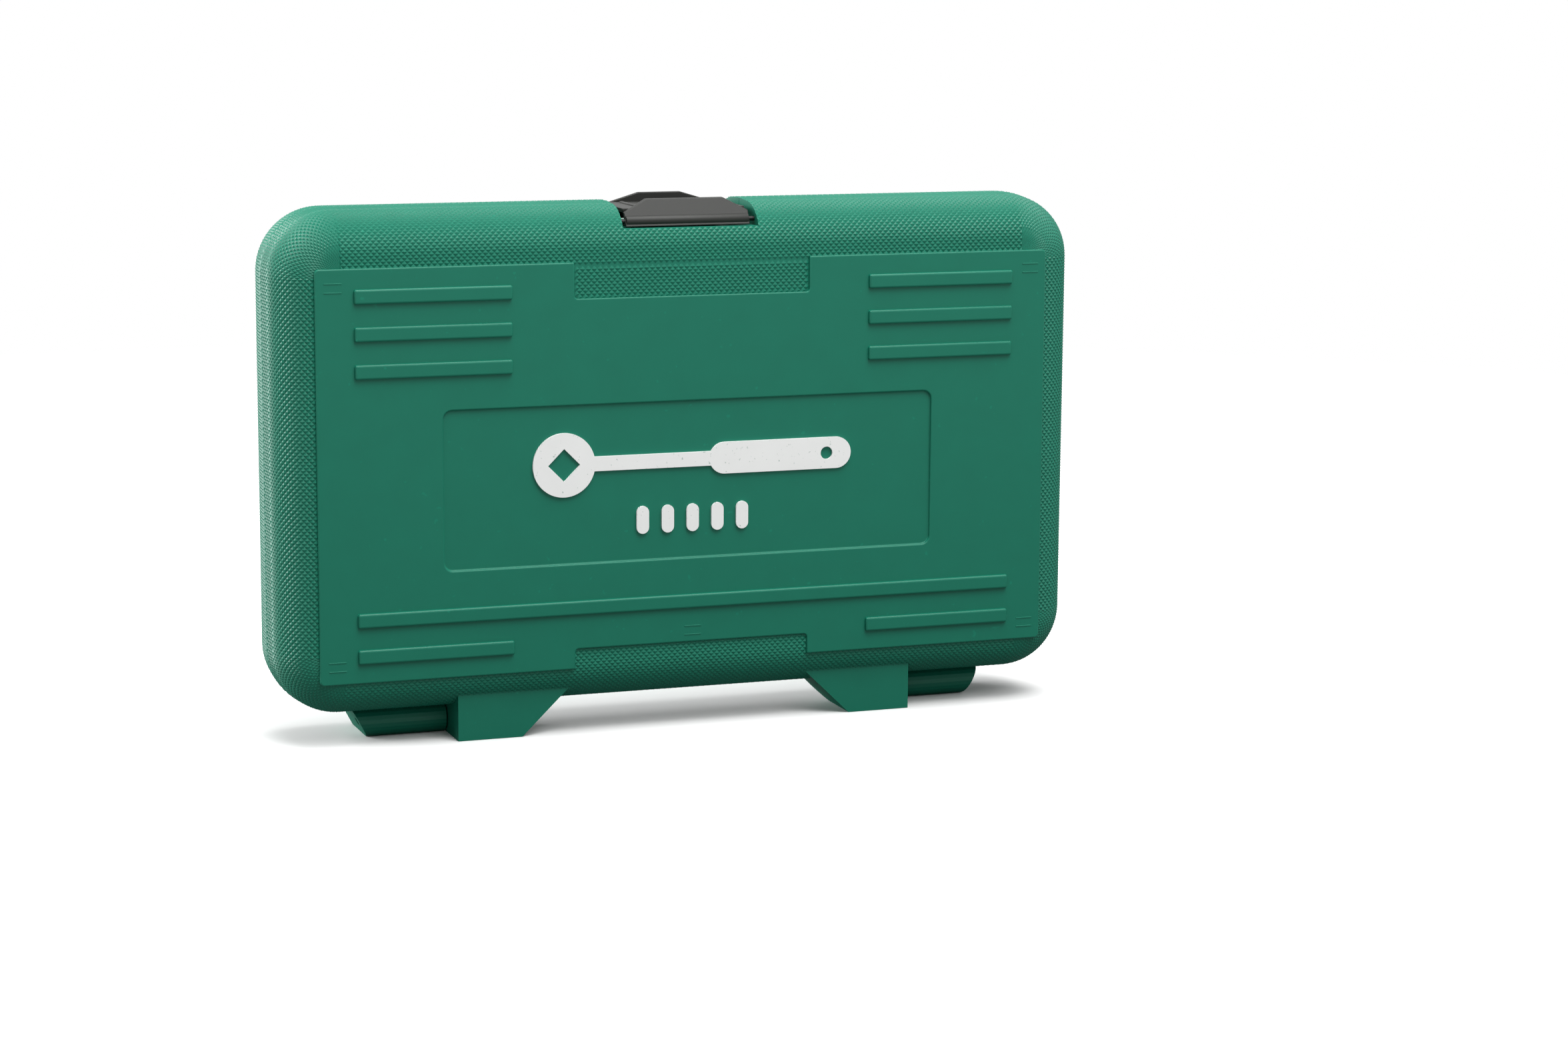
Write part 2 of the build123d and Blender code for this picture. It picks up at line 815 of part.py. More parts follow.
# ---- Ratchet ----
head_back = 5.5
head_front = -8.0
cover_sheet = 1.5
back_sheet = 2.0
neck_reach = 13.0
neck_boss = 7.0
neck_half = 6.7
shank_half = 5.5
shank_sheet = 9.0
head_chamfer = 0.8
cover_margin = 2.8
gear_teeth = 36
gear_tip = 10.4
gear_root = 9.5
gear_space = 0.6
pawl_space = 11.0
hub_radius = 8.0
shaft_radius = 3.0
rocking = 20.0
lever_angle = 50.0
mesh_gap = 0.12
pawl_height = 6.0
slide_gap = 0.2
button_radius = 3.0
stem_radius = 1.8
button_travel = 2.0
tang_radius = 4.0
pivot_x = ratchet_x + pivot_distance
cavity_front = head_front + cover_sheet
cavity_back = head_back - back_sheet
gear_front = cavity_front + slide_gap
gear_back = cavity_back - slide_gap
screw_radius = 0.8
screw_head = 1.3
screw_ring = gear_tip + gear_space + 1.3
screw_angle = radians(130)
screw_length = 5.0
screw_sink = 0.8
screw_slot = 0.5
screw_places = (
    (ratchet_x + screw_ring * cos(screw_angle), ratchet_z + screw_ring * sin(screw_angle)),
    (ratchet_x + screw_ring * cos(screw_angle), ratchet_z - screw_ring * sin(screw_angle)),
    (pivot_x + pawl_space + 1.8, ratchet_z),
)


def head_outline(at_gear, at_pivot, at_neck):
    """Pear outline round the gear, the pawl pivot and the start of the shank."""
    with BuildSketch() as outline:
        with Locations((ratchet_x, ratchet_z)):
            Circle(at_gear)
        with Locations((pivot_x, ratchet_z)):
            Circle(at_pivot)
        with Locations((pivot_x + neck_reach, ratchet_z)):
            Circle(at_neck)
        make_hull()
    return outline.sketch


def disc(x, y, z, radius, length):
    """Round bar along Y that starts at y and runs towards the back."""
    with BuildPart() as bar:
        with BuildSketch(level(y)):
            with Locations((x, z)):
                Circle(radius)
        extrude(amount=-length)
    return bar.part


grip_start = ratchet_x + 84.0
grip_end = ratchet_x + ratchet_length - head_radius
cap_length = 6.0
shank_y = (head_front + head_back) / 2
cover_seat = head_outline(head_radius - cover_margin, pivot_boss - cover_margin, neck_boss - cover_margin)
with BuildPart() as ratchet_handle:
    with BuildSketch(level(head_back)):
        add(head_outline(head_radius, pivot_boss, neck_boss))
    extrude(amount=head_back - head_front)
    rims = ratchet_handle.faces().filter_by(Axis.Y)
    chamfer(rims.edges(), head_chamfer)
    with BuildSketch(level(shank_y + shank_sheet / 2)):
        with BuildLine():
            Polyline(
                (pivot_x + neck_reach, ratchet_z - neck_half),
                (grip_start, ratchet_z - shank_half),
                (grip_start, ratchet_z + shank_half),
                (pivot_x + neck_reach, ratchet_z + neck_half),
                close=True,
            )
        make_face()
    extrude(amount=shank_sheet)
    with BuildSketch(Plane((grip_start, shank_y, ratchet_z), x_dir=(0, 1, 0), z_dir=(1, 0, 0))):
        Circle(tang_radius)
    extrude(amount=grip_end - cap_length - grip_start)
    with BuildSketch(level(head_front)):
        add(cover_seat)
    extrude(amount=-cover_sheet, mode=Mode.SUBTRACT)
    with BuildSketch(level(cavity_front)):
        with Locations((ratchet_x, ratchet_z)):
            Circle(gear_tip + gear_space)
        with Locations((pivot_x, ratchet_z)):
            Circle(pawl_space)
    extrude(amount=-(cavity_back - cavity_front), mode=Mode.SUBTRACT)
    add(disc(ratchet_x, cavity_back, ratchet_z, hub_radius + running, back_sheet), mode=Mode.SUBTRACT)
    for x, z in screw_places:
        add(disc(x, cavity_front, z, screw_radius, screw_length - cover_sheet), mode=Mode.SUBTRACT)
write(ratchet_handle.part, "ratchet_handle")

with BuildPart() as ratchet_cover:
    with BuildSketch(level(cavity_front)):
        add(head_outline(
            head_radius - cover_margin - slide_gap / 2,
            pivot_boss - cover_margin - slide_gap / 2,
            neck_boss - cover_margin - slide_gap / 2,
        ))
    extrude(amount=cover_sheet)
    add(disc(ratchet_x, head_front, ratchet_z, 5.0 + running, cover_sheet), mode=Mode.SUBTRACT)
    add(disc(pivot_x, head_front, ratchet_z, shaft_radius + running, cover_sheet), mode=Mode.SUBTRACT)
    for x, z in screw_places:
        add(disc(x, head_front, z, screw_radius, cover_sheet), mode=Mode.SUBTRACT)
        add(disc(x, head_front, z, screw_head, screw_sink), mode=Mode.SUBTRACT)
write(ratchet_cover.part, "ratchet_cover")

with BuildPart() as cover_screws:
    for x, z in screw_places:
        add(disc(x, head_front, z, screw_head, screw_sink))
        add(disc(x, head_front, z, screw_radius, screw_length))
        with BuildSketch(level(head_front)):
            with Locations((x, z)):
                Rectangle(1.5 * screw_head, screw_slot)
                Rectangle(screw_slot, 1.5 * screw_head)
        extrude(amount=-screw_sink / 2, mode=Mode.SUBTRACT)
write(cover_screws.part, "cover_screws")

with BuildPart() as ratchet_grip:
    grip_plane = Plane((grip_start, shank_y, ratchet_z), x_dir=(0, 0, 1), z_dir=(0, 1, 0))
    body_length = grip_end - cap_length - grip_start
    add(
        turned(
            grip_plane,
            (
                (0, 0.1),
                (8.5, 0.1),
                (10.5, 4.0),
                (10.5, 9.0),
                (9.0, 14.0),
                (11.0, 0.45 * body_length),
                (11.0, 0.65 * body_length),
                (9.4, body_length - 9.0),
                (11.2, body_length - 2.0),
                (10.6, body_length),
                (0, body_length),
            ),
        )
    )
    fillet(ratchet_grip.edges().filter_by(GeomType.CIRCLE).sort_by(Axis.X)[3:-3], 1.5)
    tang_outline = ((0, 0), (tang_radius, 0), (tang_radius, body_length), (0, body_length))
    add(turned(grip_plane, tang_outline), mode=Mode.SUBTRACT)
write(ratchet_grip.part, "ratchet_grip")

with BuildPart() as grip_cap:
    add(
        turned(
            grip_plane,
            (
                (0, body_length + 0.1),
                (10.4, body_length + 0.1),
                (10.0, body_length + 3.5),
                (7.5, body_length + cap_length),
                (0, body_length + cap_length),
            ),
        )
    )
write(grip_cap.part, "grip_cap")


def gear_outline(extra):
    """Outline of the gear's pointed teeth, grown by a clearance."""
    step = 2 * pi / gear_teeth
    points = []
    for tooth in range(gear_teeth):
        angle = tooth * step
        points.append(((gear_tip + extra) * cos(angle), (gear_tip + extra) * sin(angle)))
        valley = angle + step / 2
        points.append(((gear_root + extra) * cos(valley), (gear_root + extra) * sin(valley)))
    with BuildSketch() as outline:
        with BuildLine():
            Polyline(*points, close=True)
        make_face()
    return outline.sketch


bore_step = 1.5
button_gap = 0.08
collar_radius = 5.0
collar_front = head_front - 0.3
anvil_gap = 0.5
anvil_plane = Plane((ratchet_x, 0, ratchet_z), x_dir=(1, 0, 0), z_dir=(0, 0, 1))
anvil_start = head_back + anvil_gap
ball_y = anvil_start + drive_length / 2
with BuildPart() as drive_gear:
    with BuildSketch(level(gear_back)):
        with Locations((ratchet_x, ratchet_z)):
            add(gear_outline(0))
    extrude(amount=gear_back - gear_front)
    add(disc(ratchet_x, collar_front, ratchet_z, collar_radius, gear_front - collar_front))
    add(disc(ratchet_x, gear_back, ratchet_z, hub_radius, anvil_start - gear_back))
    add(square_end(anvil_plane, anvil_start))
    bore_radius = button_radius + button_gap
    add(disc(ratchet_x, collar_front, ratchet_z, bore_radius, bore_step - collar_front), mode=Mode.SUBTRACT)
    stem_bore = disc(ratchet_x, bore_step, ratchet_z, stem_radius + button_gap, ball_y - bore_step)
    add(stem_bore, mode=Mode.SUBTRACT)
write(drive_gear.part, "drive_gear")
with BuildPart() as drive_ball:
    with Locations(ball_place(anvil_plane, ball_y)):
        Sphere(ball_radius)
write(drive_ball.part, "drive_ball")

button_chamfer = 0.4
stem_stop = 1.4
button_front = collar_front - button_travel - button_chamfer
head_under = -4.5
with BuildPart() as release_button:
    add(disc(ratchet_x, button_front, ratchet_z, button_radius, head_under - button_front))
    chamfer(release_button.faces().sort_by(Axis.Y)[0].edges(), button_chamfer)
    add(disc(ratchet_x, head_under, ratchet_z, stem_radius, ball_y - stem_stop - button_travel - head_under))
write(release_button.part, "release_button")

coil_radius = 2.45
coil_wire = 0.22
coil_pitch = 1.05
coil_turns = 5
with BuildPart() as button_spring:
    coil_start = (ratchet_x, head_under + coil_wire + 0.02, ratchet_z)
    with BuildLine():
        coil = Helix(
            coil_pitch, coil_pitch * coil_turns, coil_radius, center=coil_start, direction=(0, 1, 0)
        )
    with BuildSketch(Plane(coil @ 0, z_dir=coil % 0)):
        Circle(coil_wire)
    sweep()
write(button_spring.part, "button_spring")

# Pawl: a blank cut by the gear where each of its two horns meets it, with a notch for the plunger
half_rock = rocking / 2
horn_reach = 9.5
horn_half = 7.7
pawl_back = 4.0
notch_radius = 2.2
notch_place = 2.6
pawl_boss = 5.2
pawl_outer = pawl_space - 0.4
gear_from_pivot = Location((-pivot_distance, 0, 0))
with BuildPart() as pawl:
    with BuildSketch(level(gear_back)):
        with Locations((pivot_x, ratchet_z)):
            with Locations(Location((0, 0, 0), (0, 0, half_rock))):
                with Locations(((pawl_back - horn_reach) / 2, 0)):
                    Rectangle(horn_reach + pawl_back, 2 * horn_half)
                Circle(pawl_boss)
                Circle(pawl_outer, mode=Mode.INTERSECT)
                with Locations((-pivot_distance, 0)):
                    Circle(gear_tip + gear_space, mode=Mode.SUBTRACT)
                with Locations((notch_place, 0)):
                    Circle(notch_radius, mode=Mode.SUBTRACT)
            Circle(shaft_radius + running, mode=Mode.SUBTRACT)
            with Locations(gear_from_pivot, Location((0, 0, 0), (0, 0, rocking)) * gear_from_pivot):
                add(gear_outline(mesh_gap), mode=Mode.SUBTRACT)
    extrude(amount=pawl_height)
write(pawl.part, "pawl")

# ---- Reverse lever, its shaft, and the sprung plunger that holds the pawl over ----
plunger_radius = 0.9
plunger_reach = 0.35
plunger_y = (gear_front + gear_back) / 2
plunger_base = -1.6
lever_sheet = 2.2
lever_front = head_front - slide_gap - lever_sheet
lever_length = 15.0
lever_boss = 5.6
lever_tip = 2.6
lever_turn = lever_angle / 2
lever_axis = Vector(cos(radians(lever_turn)), 0, sin(radians(lever_turn)))
cross_bore = Plane((pivot_x, plunger_y, ratchet_z), x_dir=(0, 1, 0), z_dir=lever_axis)
with BuildPart() as reverse_lever:
    add(disc(pivot_x, lever_front, ratchet_z, shaft_radius, gear_back - lever_front))
    lever_face = (pivot_x, lever_front + lever_sheet, ratchet_z)
    with BuildSketch(Plane(lever_face, x_dir=lever_axis, z_dir=(0, -1, 0))):
        Circle(lever_boss)
        with Locations((lever_length - 3.0, 0)):
            Circle(lever_tip)
        make_hull()
    extrude(amount=lever_sheet)
    chamfer(reverse_lever.faces().sort_by(Axis.Y)[0].edges(), bevel)
    with BuildSketch(cross_bore.offset(plunger_base)):
        Circle(plunger_radius + running)
    extrude(amount=shaft_radius + plunger_reach - plunger_base, mode=Mode.SUBTRACT)
write(reverse_lever.part, "reverse_lever")

plunger_start = 1.2
with BuildPart() as pawl_plunger:
    with BuildSketch(cross_bore.offset(plunger_start)):
        Circle(plunger_radius)
    extrude(amount=shaft_radius + plunger_reach - plunger_start)
    chamfer(pawl_plunger.edges().sort_by(Axis((0, 0, 0), lever_axis))[-1], 0.3)
write(pawl_plunger.part, "pawl_plunger")

with BuildPart() as pawl_spring:
    spring_start = cross_bore.offset(plunger_base + 0.15).origin
    with BuildLine():
        fine_coil = Helix(0.5, 2.4, 0.6, center=spring_start, direction=lever_axis)
    with BuildSketch(Plane(fine_coil @ 0, z_dir=fine_coil % 0)):
        Circle(0.12)
    sweep()
write(pawl_spring.part, "pawl_spring")
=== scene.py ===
"""Socket wrench set in a moulded case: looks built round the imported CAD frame.

Each sub-assembly is a class that holds its sizes in millimetres and builds its own meshes. Each finish is a
frozen dataclass that makes one procedural material. Meshes are scaled to metres as they become pieces.
"""

import json
import logging
import math
from dataclasses import dataclass
from enum import Enum

import bmesh
import bpy
from mathutils import Euler, Matrix, Vector

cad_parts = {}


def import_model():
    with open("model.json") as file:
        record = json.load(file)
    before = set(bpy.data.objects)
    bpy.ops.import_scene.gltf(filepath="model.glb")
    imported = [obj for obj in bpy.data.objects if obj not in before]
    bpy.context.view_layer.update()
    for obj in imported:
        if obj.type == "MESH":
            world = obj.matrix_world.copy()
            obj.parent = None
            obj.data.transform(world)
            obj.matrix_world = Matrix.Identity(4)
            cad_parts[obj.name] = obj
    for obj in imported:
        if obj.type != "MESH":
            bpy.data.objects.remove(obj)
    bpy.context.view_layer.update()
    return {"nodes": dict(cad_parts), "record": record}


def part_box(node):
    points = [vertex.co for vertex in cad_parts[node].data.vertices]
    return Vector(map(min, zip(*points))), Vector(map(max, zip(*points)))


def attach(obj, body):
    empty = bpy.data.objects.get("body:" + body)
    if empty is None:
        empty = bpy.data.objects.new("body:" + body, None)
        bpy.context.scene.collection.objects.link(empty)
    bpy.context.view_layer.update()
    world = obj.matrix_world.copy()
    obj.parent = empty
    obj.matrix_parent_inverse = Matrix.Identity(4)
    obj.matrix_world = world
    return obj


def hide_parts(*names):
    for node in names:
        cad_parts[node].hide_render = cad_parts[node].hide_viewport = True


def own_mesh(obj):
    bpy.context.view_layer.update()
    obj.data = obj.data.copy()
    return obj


MM = 0.001
WELD_REACH = 0.000005
FLECK_SCALE = 420.0
FLECK_BAND = (0.74, 0.80)
SCUFF_BAND = (0.60, 0.78)
EDGE_BAND = (0.02, 0.35)
PINHOLE_BAND = (0.68, 0.78)
SCUFF_STRETCH = (1.0, 6.0, 14.0)
SCUFF_TURN = (0.2, 0.5, 0.3)
LINE_STRETCH = (0.15, 1.0, 1.0)
EMBLEM_SOFT = 0.00018
LOG = logging.getLogger("tool_case")


class Side(Enum):
    """Half of the case, by the sign of Y on which it stands."""

    LID = -1
    BASE = 1


# ---------------------------------------------------------------- meshes


def new_object(name: str, bm: bmesh.types.BMesh, scale: float = MM) -> bpy.types.Object:
    """Turns a bmesh into a linked object with its place in its mesh.

    Args:
        name: Name of the piece.
        bm: The mesh being built, which is freed.
        scale: Factor from the mesh's units to metres.

    Returns:
        The new object.
    """
    bmesh.ops.scale(bm, vec=(scale, scale, scale), verts=bm.verts)
    mesh = bpy.data.meshes.new(name)
    bm.to_mesh(mesh)
    bm.free()
    piece = bpy.data.objects.new(name, mesh)
    bpy.context.collection.objects.link(piece)
    return piece


def boolean(piece: bpy.types.Object, cutter: bpy.types.Object, operation: str) -> None:
    """Joins or cuts a piece with another one and keeps the result as its mesh.

    Args:
        piece: The object that changes.
        cutter: The object that joins it or cuts it, left as it is.
        operation: DIFFERENCE, UNION or INTERSECT.
    """
    modifier = piece.modifiers.new("cut", "BOOLEAN")
    modifier.object = cutter
    modifier.operation = operation
    modifier.solver = "EXACT"
    bake_modifiers(piece)


def bake_modifiers(piece: bpy.types.Object) -> None:
    """Replaces a piece's mesh by what its modifiers make of it.

    Args:
        piece: The object whose modifiers are applied.
    """
    depsgraph = bpy.context.evaluated_depsgraph_get()
    mesh = bpy.data.meshes.new_from_object(piece.evaluated_get(depsgraph))
    piece.modifiers.clear()
    piece.data = mesh


def soften(piece: bpy.types.Object, width: float, segments: int, angle: float) -> None:
    """Rounds every edge of a piece that is sharper than an angle.

    Args:
        piece: The object, whose split vertices are joined first.
        width: Width of the rounding, in metres.
        segments: Number of facets across it.
        angle: Smallest angle that is rounded, in degrees.
    """
    weld = piece.modifiers.new("join", "WELD")
    weld.merge_threshold = WELD_REACH
    modifier = piece.modifiers.new("soften", "BEVEL")
    modifier.width = width
    modifier.segments = segments
    modifier.limit_method = "ANGLE"
    modifier.angle_limit = math.radians(angle)
    modifier.use_clamp_overlap = True
    modifier.harden_normals = False


def discard(*objects: bpy.types.Object) -> None:
    """Removes helper objects from the scene.

    Args:
        objects: The helpers, which nothing uses any more.
    """
    for helper in objects:
        bpy.data.objects.remove(helper, do_unlink=True)


def bevel(bm: bmesh.types.BMesh, edges: list, width: float, segments: int) -> None:
    """Rounds edges of a mesh.

    Args:
        bm: The mesh.
        edges: The edges to round.
        width: Width of the rounding, in the mesh's units.
        segments: Number of facets across it.
    """
    bmesh.ops.bevel(
        bm,
        geom=edges,
        offset=width,
        offset_type="OFFSET",
        affect="EDGES",
        segments=segments,
        profile=0.5,
        material=-1,
        clamp_overlap=True,
    )


def extrude(bm: bmesh.types.BMesh, face: bmesh.types.BMFace, reach: tuple[float, float, float]) -> list:
    """Grows a face into a solid.

    Args:
        bm: The mesh.
        face: The face that is drawn out.
        reach: How far, on each axis.

    Returns:
        The vertices of the far end.
    """
    grown = bmesh.ops.extrude_face_region(bm, geom=[face])
    far = [item for item in grown["geom"] if isinstance(item, bmesh.types.BMVert)]
    bmesh.ops.translate(bm, vec=reach, verts=far)
    return far


def add_rod(bm: bmesh.types.BMesh, radius: float, length: float, middle: tuple[float, float, float]) -> None:
    """Adds a capped cylinder that lies along X.

    Args:
        bm: The mesh that gets it.
        radius: Its radius.
        length: Its length.
        middle: Where its middle is.
    """
    bmesh.ops.create_cone(
        bm,
        cap_ends=True,
        segments=32,
        radius1=radius,
        radius2=radius,
        depth=length,
        matrix=Matrix.Translation(middle) @ Matrix.Rotation(math.pi / 2, 4, "Y"),
    )


def split_to_points(bm: bmesh.types.BMesh) -> None:
    """Splits every quad between its two low corners, so that the tagged vertices become points.

    Args:
        bm: A grid whose raised vertices are tagged.
    """
    low_first = [face for face in bm.faces if not face.verts[0].tag]
    others = [face for face in bm.faces if face.verts[0].tag]
    bmesh.ops.triangulate(bm, faces=low_first, quad_method="FIXED")
    bmesh.ops.triangulate(bm, faces=others, quad_method="ALTERNATE")


def shade(piece: bpy.types.Object, angle: float, flat_area: float = 0.00002) -> None:
    """Shades a piece smooth, with sharp edges over an angle and its large faces flat.

    Args:
        piece: The object.
        angle: Smallest angle of a sharp edge, in degrees.
        flat_area: Faces over this size stay flat, in square metres.
    """
    bm = bmesh.new()
    bm.from_mesh(piece.data)
    limit = math.radians(angle)
    for face in bm.faces:
        face.smooth = face.calc_area() < flat_area
    for edge in bm.edges:
        edge.smooth = len(edge.link_faces) == 2 and edge.calc_face_angle(0.0) < limit
    bm.to_mesh(piece.data)
    bm.free()


# ---------------------------------------------------------------- shader groups


def new_group(name: str, inputs: dict[str, float], outputs: dict[str, str]) -> bpy.types.ShaderNodeTree:
    """Makes an empty shader node group.

    Args:
        name: Name of the group.
        inputs: Name and default of each float input.
        outputs: Name and socket type of each output.

    Returns:
        The group, with its input and output nodes named "in" and "out".
    """
    group = bpy.data.node_groups.new(name, "ShaderNodeTree")
    for label, default in inputs.items():
        socket = group.interface.new_socket(label, in_out="INPUT", socket_type="NodeSocketFloat")
        socket.default_value = default
    for label, kind in outputs.items():
        group.interface.new_socket(label, in_out="OUTPUT", socket_type=kind)
    group.nodes.new("NodeGroupInput").name = "in"
    group.nodes.new("NodeGroupOutput").name = "out"
    return group


def object_place(tree: bpy.types.NodeTree) -> bpy.types.NodeSocket:
    """Adds a Texture Coordinate node and gives its place on the object."""
    return tree.nodes.new("ShaderNodeTexCoord").outputs["Object"]


def noise(
    tree: bpy.types.NodeTree, vector: bpy.types.NodeSocket, detail: float, scale: object
) -> bpy.types.NodeSocket:
    """Adds a noise texture that reads a vector.

    Args:
        tree: The tree that gets the node.
        vector: Where the pattern is read.
        detail: Octaves of the noise.
        scale: A socket or a number.

    Returns:
        The node's output, about 0 to 1.
    """
    node = tree.nodes.new("ShaderNodeTexNoise")
    node.inputs["Detail"].default_value = detail
    tree.links.new(vector, node.inputs["Vector"])
    if isinstance(scale, bpy.types.NodeSocket):
        tree.links.new(scale, node.inputs["Scale"])
    else:
        node.inputs["Scale"].default_value = scale
    return node.outputs["Fac"]


def maths(tree: bpy.types.NodeTree, operation: str, *values: object) -> bpy.types.NodeSocket:
    """Adds a Math node.

    Args:
        tree: The tree that gets the node.
        operation: Blender's name of the operation.
        values: A socket or a number for each input, in order.

    Returns:
        The node's output.
    """
    node = tree.nodes.new("ShaderNodeMath")
    node.operation = operation
    for index, value in enumerate(values):
        if isinstance(value, bpy.types.NodeSocket):
            tree.links.new(value, node.inputs[index])
        else:
            node.inputs[index].default_value = value
    return node.outputs[0]


def spread(
    tree: bpy.types.NodeTree, value: bpy.types.NodeSocket, low: float, high: float
) -> bpy.types.NodeSocket:
    """Maps a value from low..high to 0..1, clamped.

    Args:
        tree: The tree that gets the node.
        value: The value that is mapped.
        low: What becomes 0.
        high: What becomes 1.

    Returns:
        The mapped value.
    """
    node = tree.nodes.new("ShaderNodeMapRange")
    node.inputs["From Min"].default_value = low
    node.inputs["From Max"].default_value = high
    tree.links.new(value, node.inputs["Value"])
    return node.outputs["Result"]


def moulded_grain() -> bpy.types.ShaderNodeTree:
    """Makes the group for the fine grain and slow unevenness of moulded plastic.

    Returns:
        A group with the outputs Height, Mottle and Fleck.
    """
    group = new_group(
        "moulded grain",
        {"Grain Scale": 1800.0, "Ripple Scale": 90.0, "Ripple": 0.5},
        {"Height": "NodeSocketFloat", "Mottle": "NodeSocketFloat", "Fleck": "NodeSocketFloat"},
    )
    source = group.nodes["in"].outputs
    place = object_place(group)
    grain = noise(group, place, 3.0, source["Grain Scale"])
    ripple = noise(group, place, 2.0, source["Ripple Scale"])
    fleck = noise(group, place, 1.0, FLECK_SCALE)
    height = maths(group, "ADD", grain, maths(group, "MULTIPLY", ripple, source["Ripple"]))
    target = group.nodes["out"].inputs
    group.links.new(height, target["Height"])
    group.links.new(ripple, target["Mottle"])
    group.links.new(spread(group, fleck, *FLECK_BAND), target["Fleck"])
    return group


def handling_wear() -> bpy.types.ShaderNodeTree:
    """Makes the group for scuffs and worn, paler edges.

    Returns:
        A group with the outputs Scuff and Edge.
    """
    group = new_group(
        "handling wear",
        {"Scuff Scale": 60.0, "Edge Width": 0.0006},
        {"Scuff": "NodeSocketFloat", "Edge": "NodeSocketFloat"},
    )
    source = group.nodes["in"].outputs
    place = object_place(group)
    stretch = group.nodes.new("ShaderNodeMapping")
    stretch.inputs["Scale"].default_value = SCUFF_STRETCH
    stretch.inputs["Rotation"].default_value = SCUFF_TURN
    group.links.new(place, stretch.inputs["Vector"])
    scuff = noise(group, stretch.outputs["Vector"], 4.0, source["Scuff Scale"])
    rounded = group.nodes.new("ShaderNodeBevel")
    rounded.samples = 4
    group.links.new(source["Edge Width"], rounded.inputs["Radius"])
    geometry = group.nodes.new("ShaderNodeNewGeometry")
    turn = group.nodes.new("ShaderNodeVectorMath")
    turn.operation = "DOT_PRODUCT"
    group.links.new(rounded.outputs["Normal"], turn.inputs[0])
    group.links.new(geometry.outputs["Normal"], turn.inputs[1])
    edge = maths(group, "SUBTRACT", 1.0, turn.outputs["Value"])
    target = group.nodes["out"].inputs
    group.links.new(spread(group, scuff, *SCUFF_BAND), target["Scuff"])
    group.links.new(spread(group, edge, *EDGE_BAND), target["Edge"])
    return group


def drawn_lines() -> bpy.types.ShaderNodeTree:
    """Makes the group for the fine lines of turned and polished steel.

    Returns:
        A group with the outputs Lines and Cloud.
    """
    group = new_group(
        "drawn lines",
        {"Line Scale": 700.0, "Cloud Scale": 70.0},
        {"Lines": "NodeSocketFloat", "Cloud": "NodeSocketFloat"},
    )
    source = group.nodes["in"].outputs
    place = object_place(group)
    stretch = group.nodes.new("ShaderNodeMapping")
    stretch.inputs["Scale"].default_value = LINE_STRETCH
    group.links.new(place, stretch.inputs["Vector"])
    lines = noise(group, stretch.outputs["Vector"], 3.0, source["Line Scale"])
    cloud = noise(group, place, 2.0, source["Cloud Scale"])
    target = group.nodes["out"].inputs
    group.links.new(lines, target["Lines"])
    group.links.new(cloud, target["Cloud"])
    return group


# ---------------------------------------------------------------- finishes


@dataclass(frozen=True)
class Colour:
    """Linear red, green and blue."""

    red: float
    green: float
    blue: float

    def rgba(self, factor: float = 1.0) -> tuple[float, float, float, float]:
        """Gives the colour, made lighter or darker by a factor, with full alpha."""
        return (self.red * factor, self.green * factor, self.blue * factor, 1.0)


def mix_colours(
    tree: bpy.types.NodeTree, mask: bpy.types.NodeSocket, first: object, second: object
) -> bpy.types.NodeSocket:
    """Mixes two colours by a mask.

    Args:
        tree: The tree that gets the node.
        mask: Where it is 1, the second colour shows.
        first: A socket or an RGBA tuple.
        second: A socket or an RGBA tuple.

    Returns:
        The mixed colour.
    """
    node = tree.nodes.new("ShaderNodeMix")
    node.data_type = "RGBA"
    tree.links.new(mask, node.inputs["Factor"])
    for label, value in (("A", first), ("B", second)):
        socket = next(item for item in node.inputs if item.name == label and item.type == "RGBA")
        if isinstance(value, bpy.types.NodeSocket):
            tree.links.new(value, socket)
        else:
            socket.default_value = value
    return next(item for item in node.outputs if item.type == "RGBA")


def place_group(tree: bpy.types.NodeTree, group: str, values: dict[str, float]) -> bpy.types.Node:
    """Places a shared group in a material with its own values.

    Args:
        tree: The material's tree.
        group: Name of the group.
        values: Value of each input that isn't left at its default.

    Returns:
        The group's node.
    """
    node = tree.nodes.new("ShaderNodeGroup")
    node.node_tree = bpy.data.node_groups[group]
    for label, value in values.items():
        node.inputs[label].default_value = value
    return node


def new_material(name: str) -> tuple[bpy.types.Material, bpy.types.NodeTree, bpy.types.Node]:
    """Makes a material with a Principled BSDF.

    Args:
        name: Name of the finish.

    Returns:
        The material, its tree and its shader node.
    """
    material = bpy.data.materials.new(name)
    material.use_nodes = True
    tree = material.node_tree
    return material, tree, tree.nodes["Principled BSDF"]


def add_bump(
    tree: bpy.types.NodeTree,
    shader: bpy.types.Node,
    height: bpy.types.NodeSocket,
    strength: float,
    depth: float,
) -> None:
    """Gives a shader its normal from a height.

    Args:
        tree: The material's tree.
        shader: The Principled BSDF.
        height: The height, about 0 to 1.
        strength: Share of the bump that shows.
        depth: Real depth of the bump, in metres.
    """
    bump = tree.nodes.new("ShaderNodeBump")
    bump.inputs["Strength"].default_value = strength
    bump.inputs["Distance"].default_value = depth
    tree.links.new(height, bump.inputs["Height"])
    tree.links.new(bump.outputs["Normal"], shader.inputs["Normal"])


